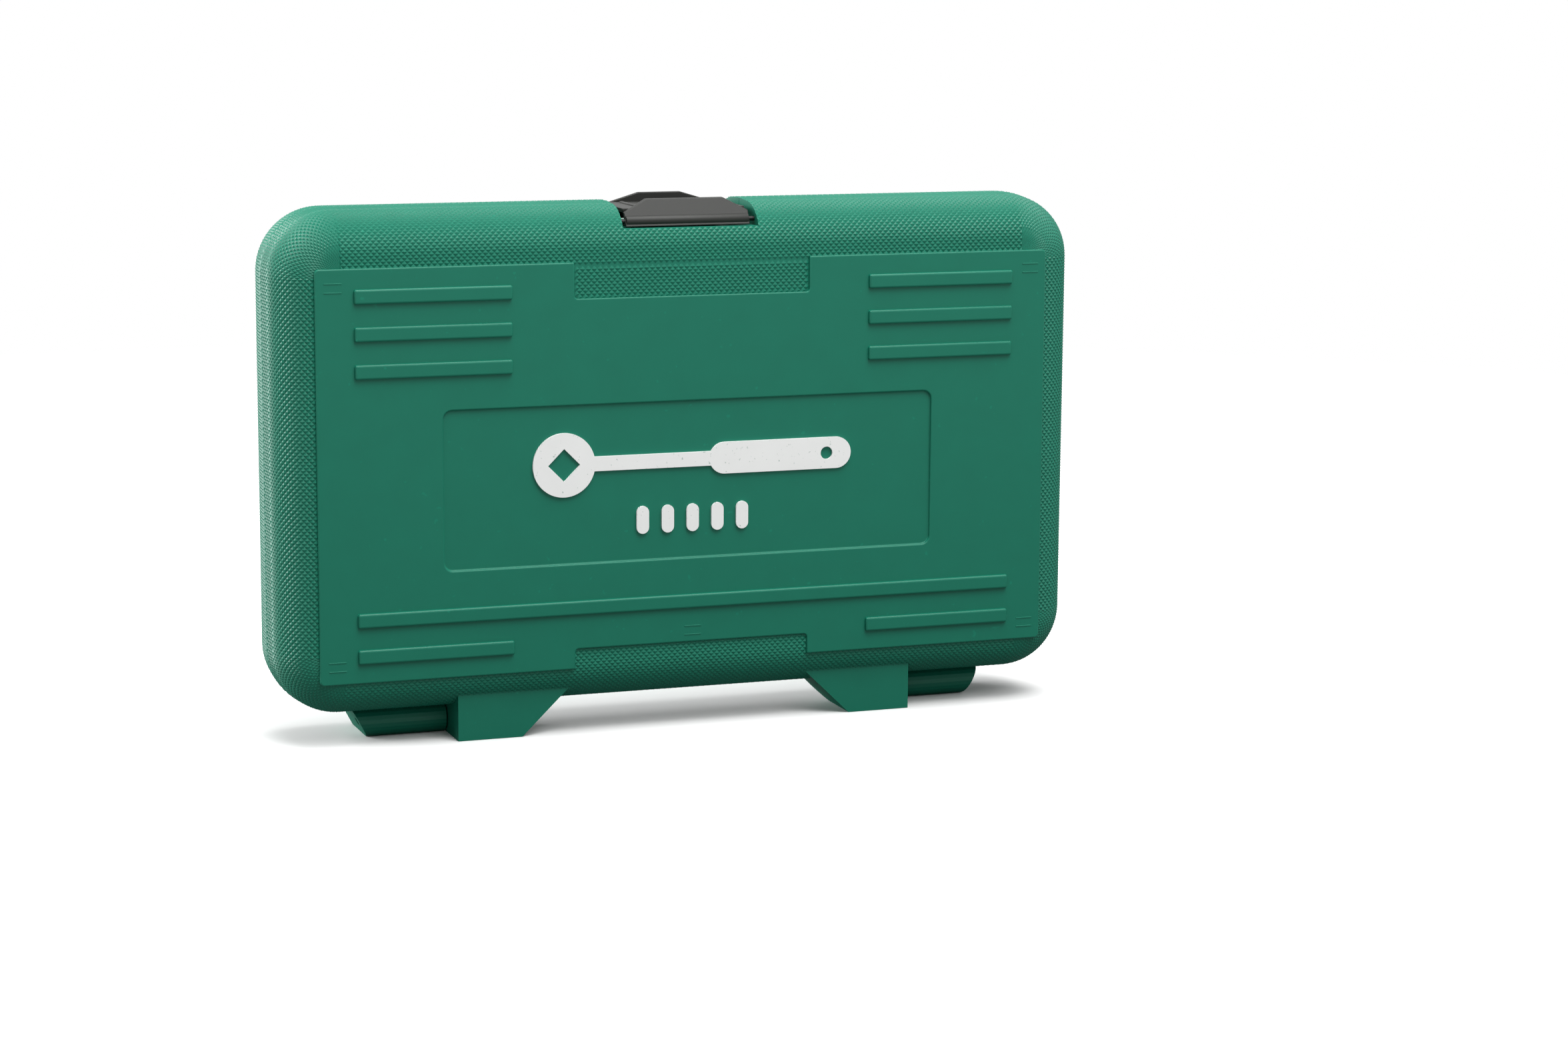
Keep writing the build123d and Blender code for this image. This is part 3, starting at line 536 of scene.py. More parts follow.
@dataclass(frozen=True)
class MouldedPlastic:
    """Injection or blow moulded plastic with fine grain, soft mottling and slightly paler edges."""

    name: str
    colour: Colour
    roughness: float
    grain_depth: float = 0.000012
    grain_scale: float = 1800.0
    mottle: float = 0.06
    edge_gain: float = 1.5
    scuff_gain: float = 1.25
    fleck_gain: float = 1.6
    specular: float = 0.3
    edge_share: float = 0.35
    scuff_share: float = 0.25
    fleck_share: float = 0.4
    scuff_rough: float = 0.08
    bump: float = 0.6

    def build(self) -> bpy.types.Material:
        """Makes the material.

        Returns:
            The material.
        """
        material, tree, shader = new_material(self.name)
        grain = place_group(tree, "moulded grain", {"Grain Scale": self.grain_scale})
        wear = place_group(tree, "handling wear", {})
        low, high = self.colour.rgba(1.0 - self.mottle), self.colour.rgba(1.0 + self.mottle)
        tone = mix_colours(tree, grain.outputs["Mottle"], low, high)
        for source, share, gain in (
            (wear.outputs["Edge"], self.edge_share, self.edge_gain),
            (wear.outputs["Scuff"], self.scuff_share, self.scuff_gain),
            (grain.outputs["Fleck"], self.fleck_share, self.fleck_gain),
        ):
            tone = mix_colours(tree, maths(tree, "MULTIPLY", source, share), tone, self.colour.rgba(gain))
        tree.links.new(tone, shader.inputs["Base Color"])
        rough = maths(tree, "MULTIPLY_ADD", wear.outputs["Scuff"], self.scuff_rough, self.roughness)
        tree.links.new(rough, shader.inputs["Roughness"])
        shader.inputs["Specular IOR Level"].default_value = self.specular
        add_bump(tree, shader, grain.outputs["Height"], self.bump, self.grain_depth)
        return material


@dataclass(frozen=True)
class Steel:
    """Plated or bare steel with turning lines and a cloudy sheen."""

    name: str
    colour: Colour
    roughness: float
    line_depth: float = 0.000006
    cloud: float = 0.10
    line_scale: float = 700.0
    scuff_scale: float = 140.0
    scuff_share: float = 0.3
    scuff_gain: float = 0.8
    cloud_rough: float = 0.14
    bump: float = 0.5

    def build(self) -> bpy.types.Material:
        """Makes the material.

        Returns:
            The material.
        """
        material, tree, shader = new_material(self.name)
        lines = place_group(tree, "drawn lines", {"Line Scale": self.line_scale})
        wear = place_group(tree, "handling wear", {"Scuff Scale": self.scuff_scale})
        low, high = self.colour.rgba(1.0 - self.cloud), self.colour.rgba(1.0 + self.cloud)
        tone = mix_colours(tree, lines.outputs["Cloud"], low, high)
        rubbed = maths(tree, "MULTIPLY", wear.outputs["Scuff"], self.scuff_share)
        worn = mix_colours(tree, rubbed, tone, self.colour.rgba(self.scuff_gain))
        tree.links.new(worn, shader.inputs["Base Color"])
        shader.inputs["Metallic"].default_value = 1.0
        rough = maths(tree, "MULTIPLY_ADD", lines.outputs["Cloud"], self.cloud_rough, self.roughness)
        tree.links.new(rough, shader.inputs["Roughness"])
        add_bump(tree, shader, lines.outputs["Lines"], self.bump, self.line_depth)
        return material


@dataclass(frozen=True)
class PrintedMark:
    """Opaque ink on a raised mark, with pinholes that let a little of the plastic through."""

    name: str
    ink: Colour
    under: Colour
    roughness: float = 0.45
    grain_scale: float = 2600.0
    grain_depth: float = 0.00002
    pinhole_scale: float = 900.0
    bare_share: float = 0.5
    mottle: float = 0.03
    mottle_rough: float = 0.1
    bump: float = 0.5

    def build(self) -> bpy.types.Material:
        """Makes the material.

        Returns:
            The material.
        """
        material, tree, shader = new_material(self.name)
        grain = place_group(tree, "moulded grain", {"Grain Scale": self.grain_scale})
        pinholes = noise(tree, object_place(tree), 2.0, self.pinhole_scale)
        bare = maths(tree, "MULTIPLY", spread(tree, pinholes, *PINHOLE_BAND), self.bare_share)
        low, high = self.ink.rgba(1.0 - self.mottle), self.ink.rgba(1.0 + self.mottle)
        tone = mix_colours(tree, grain.outputs["Mottle"], low, high)
        tree.links.new(mix_colours(tree, bare, tone, self.under.rgba()), shader.inputs["Base Color"])
        rough = maths(tree, "MULTIPLY_ADD", grain.outputs["Mottle"], self.mottle_rough, self.roughness)
        tree.links.new(rough, shader.inputs["Roughness"])
        add_bump(tree, shader, grain.outputs["Height"], self.bump, self.grain_depth)
        return material


GREEN = Colour(0.0045, 0.150, 0.094)
FINISHES = {
    "case_green": MouldedPlastic("case green", GREEN, 0.44, scuff_gain=1.12),
    "latch_black": MouldedPlastic(
        "latch black", Colour(0.017, 0.018, 0.016), 0.50, mottle=0.05, fleck_gain=2.0
    ),
    "mark_white": PrintedMark("mark white", Colour(0.80, 0.81, 0.80), GREEN),
    "pin_steel": Steel("pin steel", Colour(0.48, 0.48, 0.47), 0.30),
    "pin_black": Steel("blackened pin", Colour(0.03, 0.03, 0.03), 0.45),
    "tray_black": MouldedPlastic(
        "tray black", Colour(0.018, 0.019, 0.020), 0.50, grain_depth=0.00006, grain_scale=900.0
    ),
    "chrome": Steel("satin chrome", Colour(0.66, 0.67, 0.69), 0.13, cloud=0.05),
    "gear_steel": Steel("gear steel", Colour(0.42, 0.42, 0.43), 0.28),
    "spring_steel": Steel("spring steel", Colour(0.50, 0.50, 0.50), 0.22),
    "grip_green": MouldedPlastic("grip green", Colour(0.012, 0.165, 0.105), 0.34),
    "cap_black": MouldedPlastic("cap black", Colour(0.020, 0.020, 0.020), 0.55),
    "insert_rubber": MouldedPlastic("insert rubber", Colour(0.015, 0.015, 0.015), 0.70, grain_depth=0.00004),
}


# ---------------------------------------------------------------- case shape


@dataclass(frozen=True)
class Station:
    """One place along the case's outline: a point on it and the direction that faces out."""

    x: float
    z: float
    out_x: float
    out_z: float

    def inside(self, inset: float) -> tuple[float, float]:
        """Gives the point at an inset from the outline."""
        return (self.x - self.out_x * inset, self.z - self.out_z * inset)


@dataclass(frozen=True)
class Ring:
    """One place along the edge profile: depth from the parting plane, inset and lean of the surface."""

    depth: float
    inset: float
    lean: float


@dataclass
class CaseShape:
    """Outer form that both halves share, in millimetres."""

    half_width: float
    crest: float
    sole: float
    corner_radius: float = 22.0
    edge_radius: float = 14.0
    draft: float = math.radians(4.0)
    wall: float = 2.0
    half_gap: float = 0.15
    surround_depth: float = 22.0
    pitch: float = 1.025
    peak: float = 0.40
    flat_reach: float = 5.0
    recess_half: float = 24.3
    recess_depth: float = 8.1
    past_parting: float = 3.0
    past_crest: float = 9.0
    least_crowding: float = 0.1
    weld: float = 0.001

    def stations(self, pitch: float) -> list[Station]:
        """Steps round the outline.

        Args:
            pitch: Wanted distance between stations.

        Returns:
            The stations, from the middle of the top edge, an even number of them on each stretch.
        """
        radius = self.corner_radius
        middle = (self.crest + self.sole) / 2
        half_height = (self.crest - self.sole) / 2
        corner_x = self.half_width - radius
        corner_z = half_height - radius
        turns = 2 * max(4, round(radius * math.pi / 4 / pitch))
        stretches = ((0, 2 * corner_x), (90, 2 * corner_z), (180, 2 * corner_x), (270, 2 * corner_z))
        found = []
        for turn, length in stretches:
            angle = math.radians(90 - turn)
            out = Vector((math.cos(angle), math.sin(angle)))
            along = Vector((out.y, -out.x))
            reach = corner_z if turn % 180 == 0 else corner_x
            count = 2 * max(1, round(length / 2 / pitch))
            for step in range(count):
                place = out * (reach + radius) + along * (length * (step / count - 0.5))
                found.append(Station(place.x, place.y + middle, out.x, out.y))
            corner = out * reach + along * (length / 2)
            for step in range(turns):
                swing = angle - math.pi / 2 * step / turns
                facing = Vector((math.cos(swing), math.sin(swing)))
                place = corner + facing * radius
                found.append(Station(place.x, place.y + middle, facing.x, facing.y))
        return found

    def rings(self, pitch: float, shrink: float, flat: float) -> list[Ring]:
        """Steps up the edge profile from the parting plane to the flat of the face.

        Args:
            pitch: Wanted distance between rings.
            shrink: Inset of the whole profile, as for the inner wall.
            flat: Length of the flat stretch past the rounded edge.

        Returns:
            The rings, in order.
        """
        radius = self.edge_radius - shrink
        centre_depth = self.surround_depth - self.edge_radius
        centre_inset = centre_depth * math.tan(self.draft) + self.edge_radius / math.cos(self.draft)
        side = centre_depth - self.half_gap
        arc = radius * (math.pi / 2 - self.draft)
        found = []
        count = max(2, round(side / pitch))
        for step in range(count):
            depth = self.half_gap + side * step / count
            found.append(Ring(depth, shrink + depth * math.tan(self.draft), self.draft))
        count = max(6, round(arc / pitch))
        for step in range(count + 1):
            lean = self.draft + (math.pi / 2 - self.draft) * step / count
            depth = centre_depth + radius * math.sin(lean)
            found.append(Ring(depth, centre_inset - radius * math.cos(lean), lean))
        count = round(flat / pitch)
        for step in range(1, count + 1):
            found.append(Ring(found[-1].depth, centre_inset + pitch * step, math.pi / 2))
        return found

    def dish(self, side: Side, stations: list[Station], rings: list[Ring], peak: float) -> bmesh.types.BMesh:
        """Makes a closed dish from a grid that is wrapped round the outline and up the profile.

        Args:
            side: Half of the case.
            stations: Steps round the outline.
            rings: Steps up the profile.
            peak: Height of the pointed texture, or 0 for a smooth dish.

        Returns:
            The mesh, in millimetres.
        """
        columns, rows = len(stations), len(rings) - 1
        bm = bmesh.new()
        bmesh.ops.create_grid(bm, x_segments=columns, y_segments=rows, size=0.5)
        for vert in bm.verts:
            column = round((vert.co.x + 0.5) * columns)
            row = round((vert.co.y + 0.5) * rows)
            station, ring = stations[column % columns], rings[row]
            crowding = 1.0
            if abs(station.out_x * station.out_z) > 1e-6:
                crowding = max(self.least_crowding, 1.0 - ring.inset / self.corner_radius)
            vert.tag = bool(peak) and (column + row) % 2 == 1 and 0 < row < rows
            raised = peak * crowding if vert.tag else 0.0
            x, z = station.inside(ring.inset)
            flat_out = math.cos(ring.lean) * raised
            vert.co = Vector(
                (
                    x + station.out_x * flat_out,
                    side.value * (ring.depth + math.sin(ring.lean) * raised),
                    z + station.out_z * flat_out,
                )
            )
        if peak:
            split_to_points(bm)
        bmesh.ops.remove_doubles(bm, verts=bm.verts, dist=self.weld)
        rims = [edge for edge in bm.edges if edge.is_boundary]
        bmesh.ops.holes_fill(bm, edges=rims, sides=0)
        bmesh.ops.recalc_face_normals(bm, faces=bm.faces)
        return bm


@dataclass
class CaseHalf:
    """One moulded half of the case: textured skin, raised panel, ribs and hinge knuckles."""

    name: str
    side: Side
    shape: CaseShape
    node: str
    body: str
    has_label: bool
    knuckle_low: float
    knuckle_high: float
    low_flank: float
    high_flank: float
    bore: float
    hinge_height: float = 5.2
    knuckle_reach: float = 18.5
    panel_half: float = 131.0
    panel_drop: float = 18.7
    panel_tall: float = 139.4
    notch_half: float = 42.2
    top_notch: float = 12.2
    bottom_notch: float = 7.0
    panel_rise: float = 1.0
    panel_soft: float = 0.45
    label_skin: float = 0.04
    mark_length: float = 6.0
    mark_width: float = 0.4
    mark_rise: float = 0.15
    mark_step: float = 3.0
    mark_places: tuple[tuple[float, float], ...] = (
        (-125.0, 25.0),
        (125.0, 25.0),
        (-125.0, 152.0),
        (125.0, 152.0),
        (0.0, 147.0),
    )
    rib_rise: float = 1.2
    rib_tall: float = 4.9
    rib_inner: float = 64.0
    rib_outer: float = 118.0
    rib_drops: tuple[float, ...] = (28.0, 40.5, 53.0)
    long_rib: float = 33.8
    low_rib: float = 21.5
    label_half: float = 88.0
    label_tall: float = 54.6
    label_drop: float = 67.0
    panel_root: float = 1.2
    panel_corner: float = 1.5
    notch_corner: float = 1.2
    label_corner: float = 3.0
    root: float = 0.3
    foot_rise: float = 8.0
    foot_soft: float = 0.7
    barrel_steps: int = 12
    drill_middle: float = 101.0
    drill_length: float = 80.0

    def block(
        self, low: tuple[float, float, float], high: tuple[float, float, float], corner: float, soft: float
    ) -> bpy.types.Object:
        """Makes a box with rounded upright corners and softened edges.

        Args:
            low: Left, depth from the parting plane of the inner face, and bottom.
            high: Right, depth of the outer face, and top.
            corner: Radius of the corners seen from the front, or 0.
            soft: Rounding of the outer face's edges, or 0.

        Returns:
            A helper object.
        """
        bm = bmesh.new()
        bmesh.ops.create_cube(bm, size=1.0)
        size = Vector(high) - Vector(low)
        centre = (Vector(high) + Vector(low)) / 2
        bmesh.ops.scale(bm, vec=size, verts=bm.verts)
        bmesh.ops.translate(bm, vec=centre, verts=bm.verts)
        if corner:
            upright = [
                edge for edge in bm.edges if abs((edge.verts[0].co - edge.verts[1].co).y) > size.y / 2
            ]
            bevel(bm, upright, corner, segments=5)
        if soft:
            top = high[1] - 1e-4
            rim = [edge for edge in bm.edges if all(vert.co.y > top for vert in edge.verts)]
            bevel(bm, rim, soft, segments=3)
        bmesh.ops.scale(bm, vec=(1, self.side.value, 1), verts=bm.verts)
        bmesh.ops.recalc_face_normals(bm, faces=bm.faces)
        return new_object("block", bm)

    def skin(self) -> bpy.types.Object:
        """Makes the outer form as a solid, with its pointed texture.

        Returns:
            The object that becomes the finished piece.
        """
        shape = self.shape
        rings = shape.rings(shape.pitch, 0.0, shape.flat_reach)
        return new_object(self.name, shape.dish(self.side, shape.stations(shape.pitch), rings, shape.peak))

    def cavity(self) -> bpy.types.Object:
        """Makes the solid that hollows the half out, with room left for the walls of the latch recess.

        Returns:
            A helper object.
        """
        shape = self.shape
        rings = shape.rings(4.0, shape.wall, 0.0)
        mouth = Ring(-1.0, rings[0].inset, 0.0)
        hollow = new_object("cavity", shape.dish(self.side, shape.stations(5.0), [mouth, *rings], 0.0))
        reach = shape.recess_half + shape.wall
        floor = shape.crest - shape.recess_depth - shape.wall
        past = shape.crest + shape.past_crest
        keep = self.block((-reach, -shape.past_parting, floor), (reach, 30.0, past), 0.0, 0.0)
        boolean(hollow, keep, "DIFFERENCE")
        discard(keep)
        return hollow

    def panel(self) -> bpy.types.Object:
        """Makes the smooth raised panel with its notches, and on the lid the sunk label area.

        Returns:
            A helper object.
        """
        shape = self.shape
        top = shape.crest - self.panel_drop
        bottom = top - self.panel_tall
        inner = shape.surround_depth - self.panel_root
        outer = shape.surround_depth + self.panel_rise
        half, notch = self.panel_half, self.notch_half
        plate = self.block((-half, inner, bottom), (half, outer, top), self.panel_corner, 0.0)
        cutters = [
            self.block((-notch, inner - 1, floor), (notch, outer + 1, roof), self.notch_corner, 0.0)
            for floor, roof in ((top - self.top_notch, top + 5), (bottom - 5, bottom + self.bottom_notch))
        ]
        if self.has_label:
            label_top = shape.crest - self.label_drop
            cutters.append(
                self.block(
                    (-self.label_half, shape.surround_depth + self.label_skin, label_top - self.label_tall),
                    (self.label_half, outer + 1, label_top),
                    self.label_corner,
                    0.0,
                )
            )
        for cutter in cutters:
            boolean(plate, cutter, "DIFFERENCE")
        discard(*cutters)
        soften(plate, self.panel_soft * MM, segments=3, angle=40.0)
        bake_modifiers(plate)
        return plate

    def notch_patch(self) -> bpy.types.Object:
        """Makes the pointed texture on the floor of the upper notch, where the skin's own has ended.

        Returns:
            A helper object.
        """
        shape = self.shape
        low = shape.crest - self.panel_drop - self.top_notch - 0.5
        high = shape.crest - shape.edge_radius - shape.flat_reach - 1.0
        columns = 2 * round(self.notch_half / shape.pitch)
        rows = round((high - low) / shape.pitch)
        bm = bmesh.new()
        bmesh.ops.create_grid(bm, x_segments=columns, y_segments=rows, size=0.5)
        for vert in bm.verts:
            column = round((vert.co.x + 0.5) * columns)
            row = round((vert.co.y + 0.5) * rows)
            inside = 0 < row < rows and 0 < column < columns
            vert.tag = inside and (column + row) % 2 == 1
            raised = shape.peak if vert.tag else 0.0
            depth = shape.surround_depth + self.label_skin + raised
            z = low + (vert.co.y + 0.5) * (high - low)
            vert.co = Vector((vert.co.x * 2 * self.notch_half, depth, z))
        split_to_points(bm)
        rims = [edge for edge in bm.edges if edge.is_boundary]
        skirt = bmesh.ops.extrude_edge_only(bm, edges=rims)
        sunk = [item for item in skirt["geom"] if isinstance(item, bmesh.types.BMVert)]
        bmesh.ops.translate(bm, vec=(0, -0.4, 0), verts=sunk)
        bmesh.ops.holes_fill(bm, edges=[edge for edge in bm.edges if edge.is_boundary], sides=0)
        bmesh.ops.scale(bm, vec=(1, self.side.value, 1), verts=bm.verts)
        bmesh.ops.recalc_face_normals(bm, faces=bm.faces)
        return new_object("patch", bm)

    def marks(self) -> list[bpy.types.Object]:
        """Makes the pairs of fine raised lines near the panel's corners and above its lower notch.

        Returns:
            Helper objects.
        """
        shape = self.shape
        face = shape.surround_depth + self.panel_rise
        found = []
        for x, drop in self.mark_places:
            for shift in (-self.mark_step / 2, self.mark_step / 2):
                z = shape.crest - drop + shift
                low = (x - self.mark_length / 2, face - self.root, z - self.mark_width / 2)
                high = (x + self.mark_length / 2, face + self.mark_rise, z + self.mark_width / 2)
                found.append(self.block(low, high, 0.0, 0.1))
        return found

    def ribs(self) -> list[bpy.types.Object]:
        """Makes the raised ribs of the panel.

        Returns:
            Helper objects.
        """
        shape = self.shape
        inner = shape.surround_depth + self.panel_rise - self.root
        outer = shape.surround_depth + self.panel_rise + self.rib_rise
        middles = [shape.crest - drop for drop in self.rib_drops] + [shape.sole + self.low_rib]
        bars = [(shape.sole + self.long_rib, -self.rib_outer, self.rib_outer)]
        for middle in middles:
            bars.append((middle, self.rib_inner, self.rib_outer))
            bars.append((middle, -self.rib_outer, -self.rib_inner))
        return [
            self.block((left, inner, z - self.rib_tall / 2), (right, outer, z + self.rib_tall / 2), 0.7, 0.8)
            for z, left, right in bars
        ]

    def foot(self, mirror: int) -> bpy.types.Object:
        """Makes one hinge knuckle with its barrel and bore.

        Args:
            mirror: 1 for the right foot, -1 for the left.

        Returns:
            A helper object.
        """
        height = self.hinge_height
        top = self.shape.sole + self.foot_rise
        bm = bmesh.new()
        points = [(self.knuckle_reach, top), (self.knuckle_reach, 0.0)]
        for step in range(self.barrel_steps + 1):
            swing = -math.pi / 2 - math.pi * step / self.barrel_steps
            points.append((height * math.cos(swing), height + height * math.sin(swing)))
        points.append((self.shape.half_gap, 2 * height))
        points.append((self.shape.half_gap, top))
        ring = [bm.verts.new((self.knuckle_low, depth, z)) for depth, z in points]
        far = extrude(bm, bm.faces.new(ring), (self.knuckle_high - self.knuckle_low, 0, 0))
        for vert in bm.verts:
            flank = self.high_flank if vert in far else -self.low_flank
            vert.co.x += vert.co.z * math.tan(math.radians(flank))
        bmesh.ops.recalc_face_normals(bm, faces=bm.faces)
        sharp = [
            edge
            for edge in bm.edges
            if edge.calc_face_angle(0.0) > math.radians(35)
            and max(vert.co.z for vert in edge.verts) < top - 0.1
        ]
        bevel(bm, sharp, self.foot_soft, segments=3)
        bmesh.ops.scale(bm, vec=(mirror, self.side.value, 1), verts=bm.verts)
        bmesh.ops.recalc_face_normals(bm, faces=bm.faces)
        knuckle = new_object("foot", bm)
        drill = bmesh.new()
        add_rod(drill, self.bore, self.drill_length, (mirror * self.drill_middle, 0, height))
        hole = new_object("drill", drill)
        boolean(knuckle, hole, "DIFFERENCE")
        discard(hole)
        return knuckle

    def build(self, material: bpy.types.Material) -> bpy.types.Object:
        """Makes the half as one piece that stands for its CAD node.

        Args:
            material: The case's finish.

        Returns:
            The finished piece.
        """
        shape = self.shape
        skin = self.skin()
        cavity = self.cavity()
        boolean(skin, cavity, "DIFFERENCE")
        recess = self.block(
            (-shape.recess_half, -shape.past_parting, shape.crest - shape.recess_depth),
            (shape.recess_half, 40.0, shape.crest + shape.past_crest),
            0.0,
            0.0,
        )
        boolean(skin, recess, "DIFFERENCE")
        feet = [self.foot(1), self.foot(-1)]
        for foot in feet:
            boolean(foot, cavity, "DIFFERENCE")
        extras = [self.panel(), self.notch_patch(), *self.marks(), *self.ribs(), *feet]
        bm = bmesh.new()
        bm.from_mesh(skin.data)
        for extra in extras:
            bm.from_mesh(extra.data)
        bm.to_mesh(skin.data)
        bm.free()
        discard(cavity, recess, *extras)
        shade(skin, angle=24.0)
        skin.data.materials.clear()
        skin.data.materials.append(material)
        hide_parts(self.node)
        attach(skin, self.body)
        LOG.info("%s: %d faces", self.name, len(skin.data.polygons))
        return skin


@dataclass
class Latch:
    """Snap latch: leaning front plate, flat web over the recess, rear ear and the two pin eyes."""

    axis_y: float
    axis_z: float
    half: float = 22.3
    shoulder_half: float = 13.8
    ear_half: float = 7.6
    plate_bottom: float = -1.75
    plate_top: float = 7.3
    shoulder: float = 2.9
    web: float = 4.1
    sheet: float = 1.5
    lean: float = 4.6
    front: float = 1.9
    ear_place: float = 30.0
    ear_bottom: float = -1.6
    eye_radius: float = 1.85
    rib_step: float = 15.0
    soft: float = 0.32
    rib_width: float = 1.2
    web_soft: float = 0.3
    overlap: float = 0.4
    ear_overlap: float = 0.7
    eye_soft: float = 0.25

    def outline(self, bottom: float, top_half: float) -> list[tuple[float, float]]:
        """Gives the corners of a plate with clipped shoulders.

        Args:
            bottom: Height of its lower edge, from the pin.
            top_half: Half of its upper edge.

        Returns:
            Corners as X and Z from the pin.
        """
        return [
            (-self.half, bottom),
            (-self.half, self.shoulder),
            (-top_half, self.plate_top),
            (top_half, self.plate_top),
            (self.half, self.shoulder),
            (self.half, bottom),
        ]

    def slab(self, outline: list[tuple[float, float]], low_y: float, shift: float) -> bpy.types.Object:
        """Makes an upright slab with soft edges that may lean back.

        Args:
            outline: Corners as X and Z from the pin.
            low_y: Front face at the pin's height, from the pin.
            shift: How far the slab's top stands behind its bottom.

        Returns:
            A helper object.
        """
        bm = bmesh.new()
        extrude(bm, bm.faces.new([bm.verts.new((x, low_y, z)) for x, z in outline]), (0, self.sheet, 0))
        bottom = min(z for x, z in outline)
        span = max(z for x, z in outline) - bottom
        for vert in bm.verts:
            vert.co.y += shift * (vert.co.z - bottom) / span
        bmesh.ops.recalc_face_normals(bm, faces=bm.faces)
        bevel(bm, list(bm.edges), self.soft, segments=3)
        bmesh.ops.translate(bm, vec=(0, self.axis_y, self.axis_z), verts=bm.verts)
        return new_object("slab", bm)

    def bar(
        self, size: tuple[float, float, float], place: tuple[float, float, float], soft: float
    ) -> bpy.types.Object:
        """Makes a box with soft edges.

        Args:
            size: Its length on each axis.
            place: Its middle, from the pin.
            soft: Rounding of its edges.

        Returns:
            A helper object.
        """
        bm = bmesh.new()
        bmesh.ops.create_cube(bm, size=1.0)
        bmesh.ops.scale(bm, vec=size, verts=bm.verts)
        bevel(bm, list(bm.edges), soft, segments=2)
        bmesh.ops.translate(bm, vec=Vector(place) + Vector((0, self.axis_y, self.axis_z)), verts=bm.verts)
        return new_object("bar", bm)

    def eye(self) -> bpy.types.Object:
        """Makes the barrel that turns on the pin, behind the front plate.

        Returns:
            A helper object.
        """
        bm = bmesh.new()
        add_rod(bm, self.eye_radius, 2 * self.half - 0.6, (0, self.axis_y, self.axis_z))
        rims = [edge for edge in bm.edges if edge.calc_face_angle(0.0) > math.radians(60)]
        bevel(bm, rims, self.eye_soft, segments=2)
        return new_object("eye", bm)

    def build(self, material: bpy.types.Material) -> bpy.types.Object:
        """Makes the latch as one piece that stands for its CAD node.

        Args:
            material: The latch's finish.

        Returns:
            The finished piece.
        """
        front_outline = self.outline(self.plate_bottom, self.shoulder_half)
        ear_outline = self.outline(self.ear_bottom, self.ear_half)
        web_front = self.front + self.sheet - self.overlap
        depth = self.ear_place + self.ear_overlap - web_front
        middle = web_front + depth / 2
        web_size = (2 * self.half - 0.8, depth, self.sheet)
        web = self.bar(web_size, (0, middle, self.web - self.sheet / 2), self.web_soft)
        front_plate = self.slab(front_outline, -self.front, self.lean)
        parts = [front_plate, self.slab(ear_outline, self.ear_place, 0.0), web]
        for x in (-self.rib_step, 0.0, self.rib_step):
            under = (x, middle, self.web - self.sheet - 0.6)
            over = (x, middle, self.web + 0.15)
            parts.append(self.bar((self.rib_width, depth - 2.0, 1.6), under, 0.2))
            parts.append(self.bar((self.rib_width, depth - 8.0, 0.7), over, 0.15))
        parts.append(self.eye())
        bm = bmesh.new()
        for part in parts:
            bm.from_mesh(part.data)
        piece = new_object("latch_snap", bm, 1.0)
        discard(*parts)
        shade(piece, angle=32.0)
        piece.data.materials.append(material)
        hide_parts("latch")
        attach(piece, "latch")
        LOG.info("%s: %d faces", piece.name, len(piece.data.polygons))
        return piece


# ---------------------------------------------------------------- studio


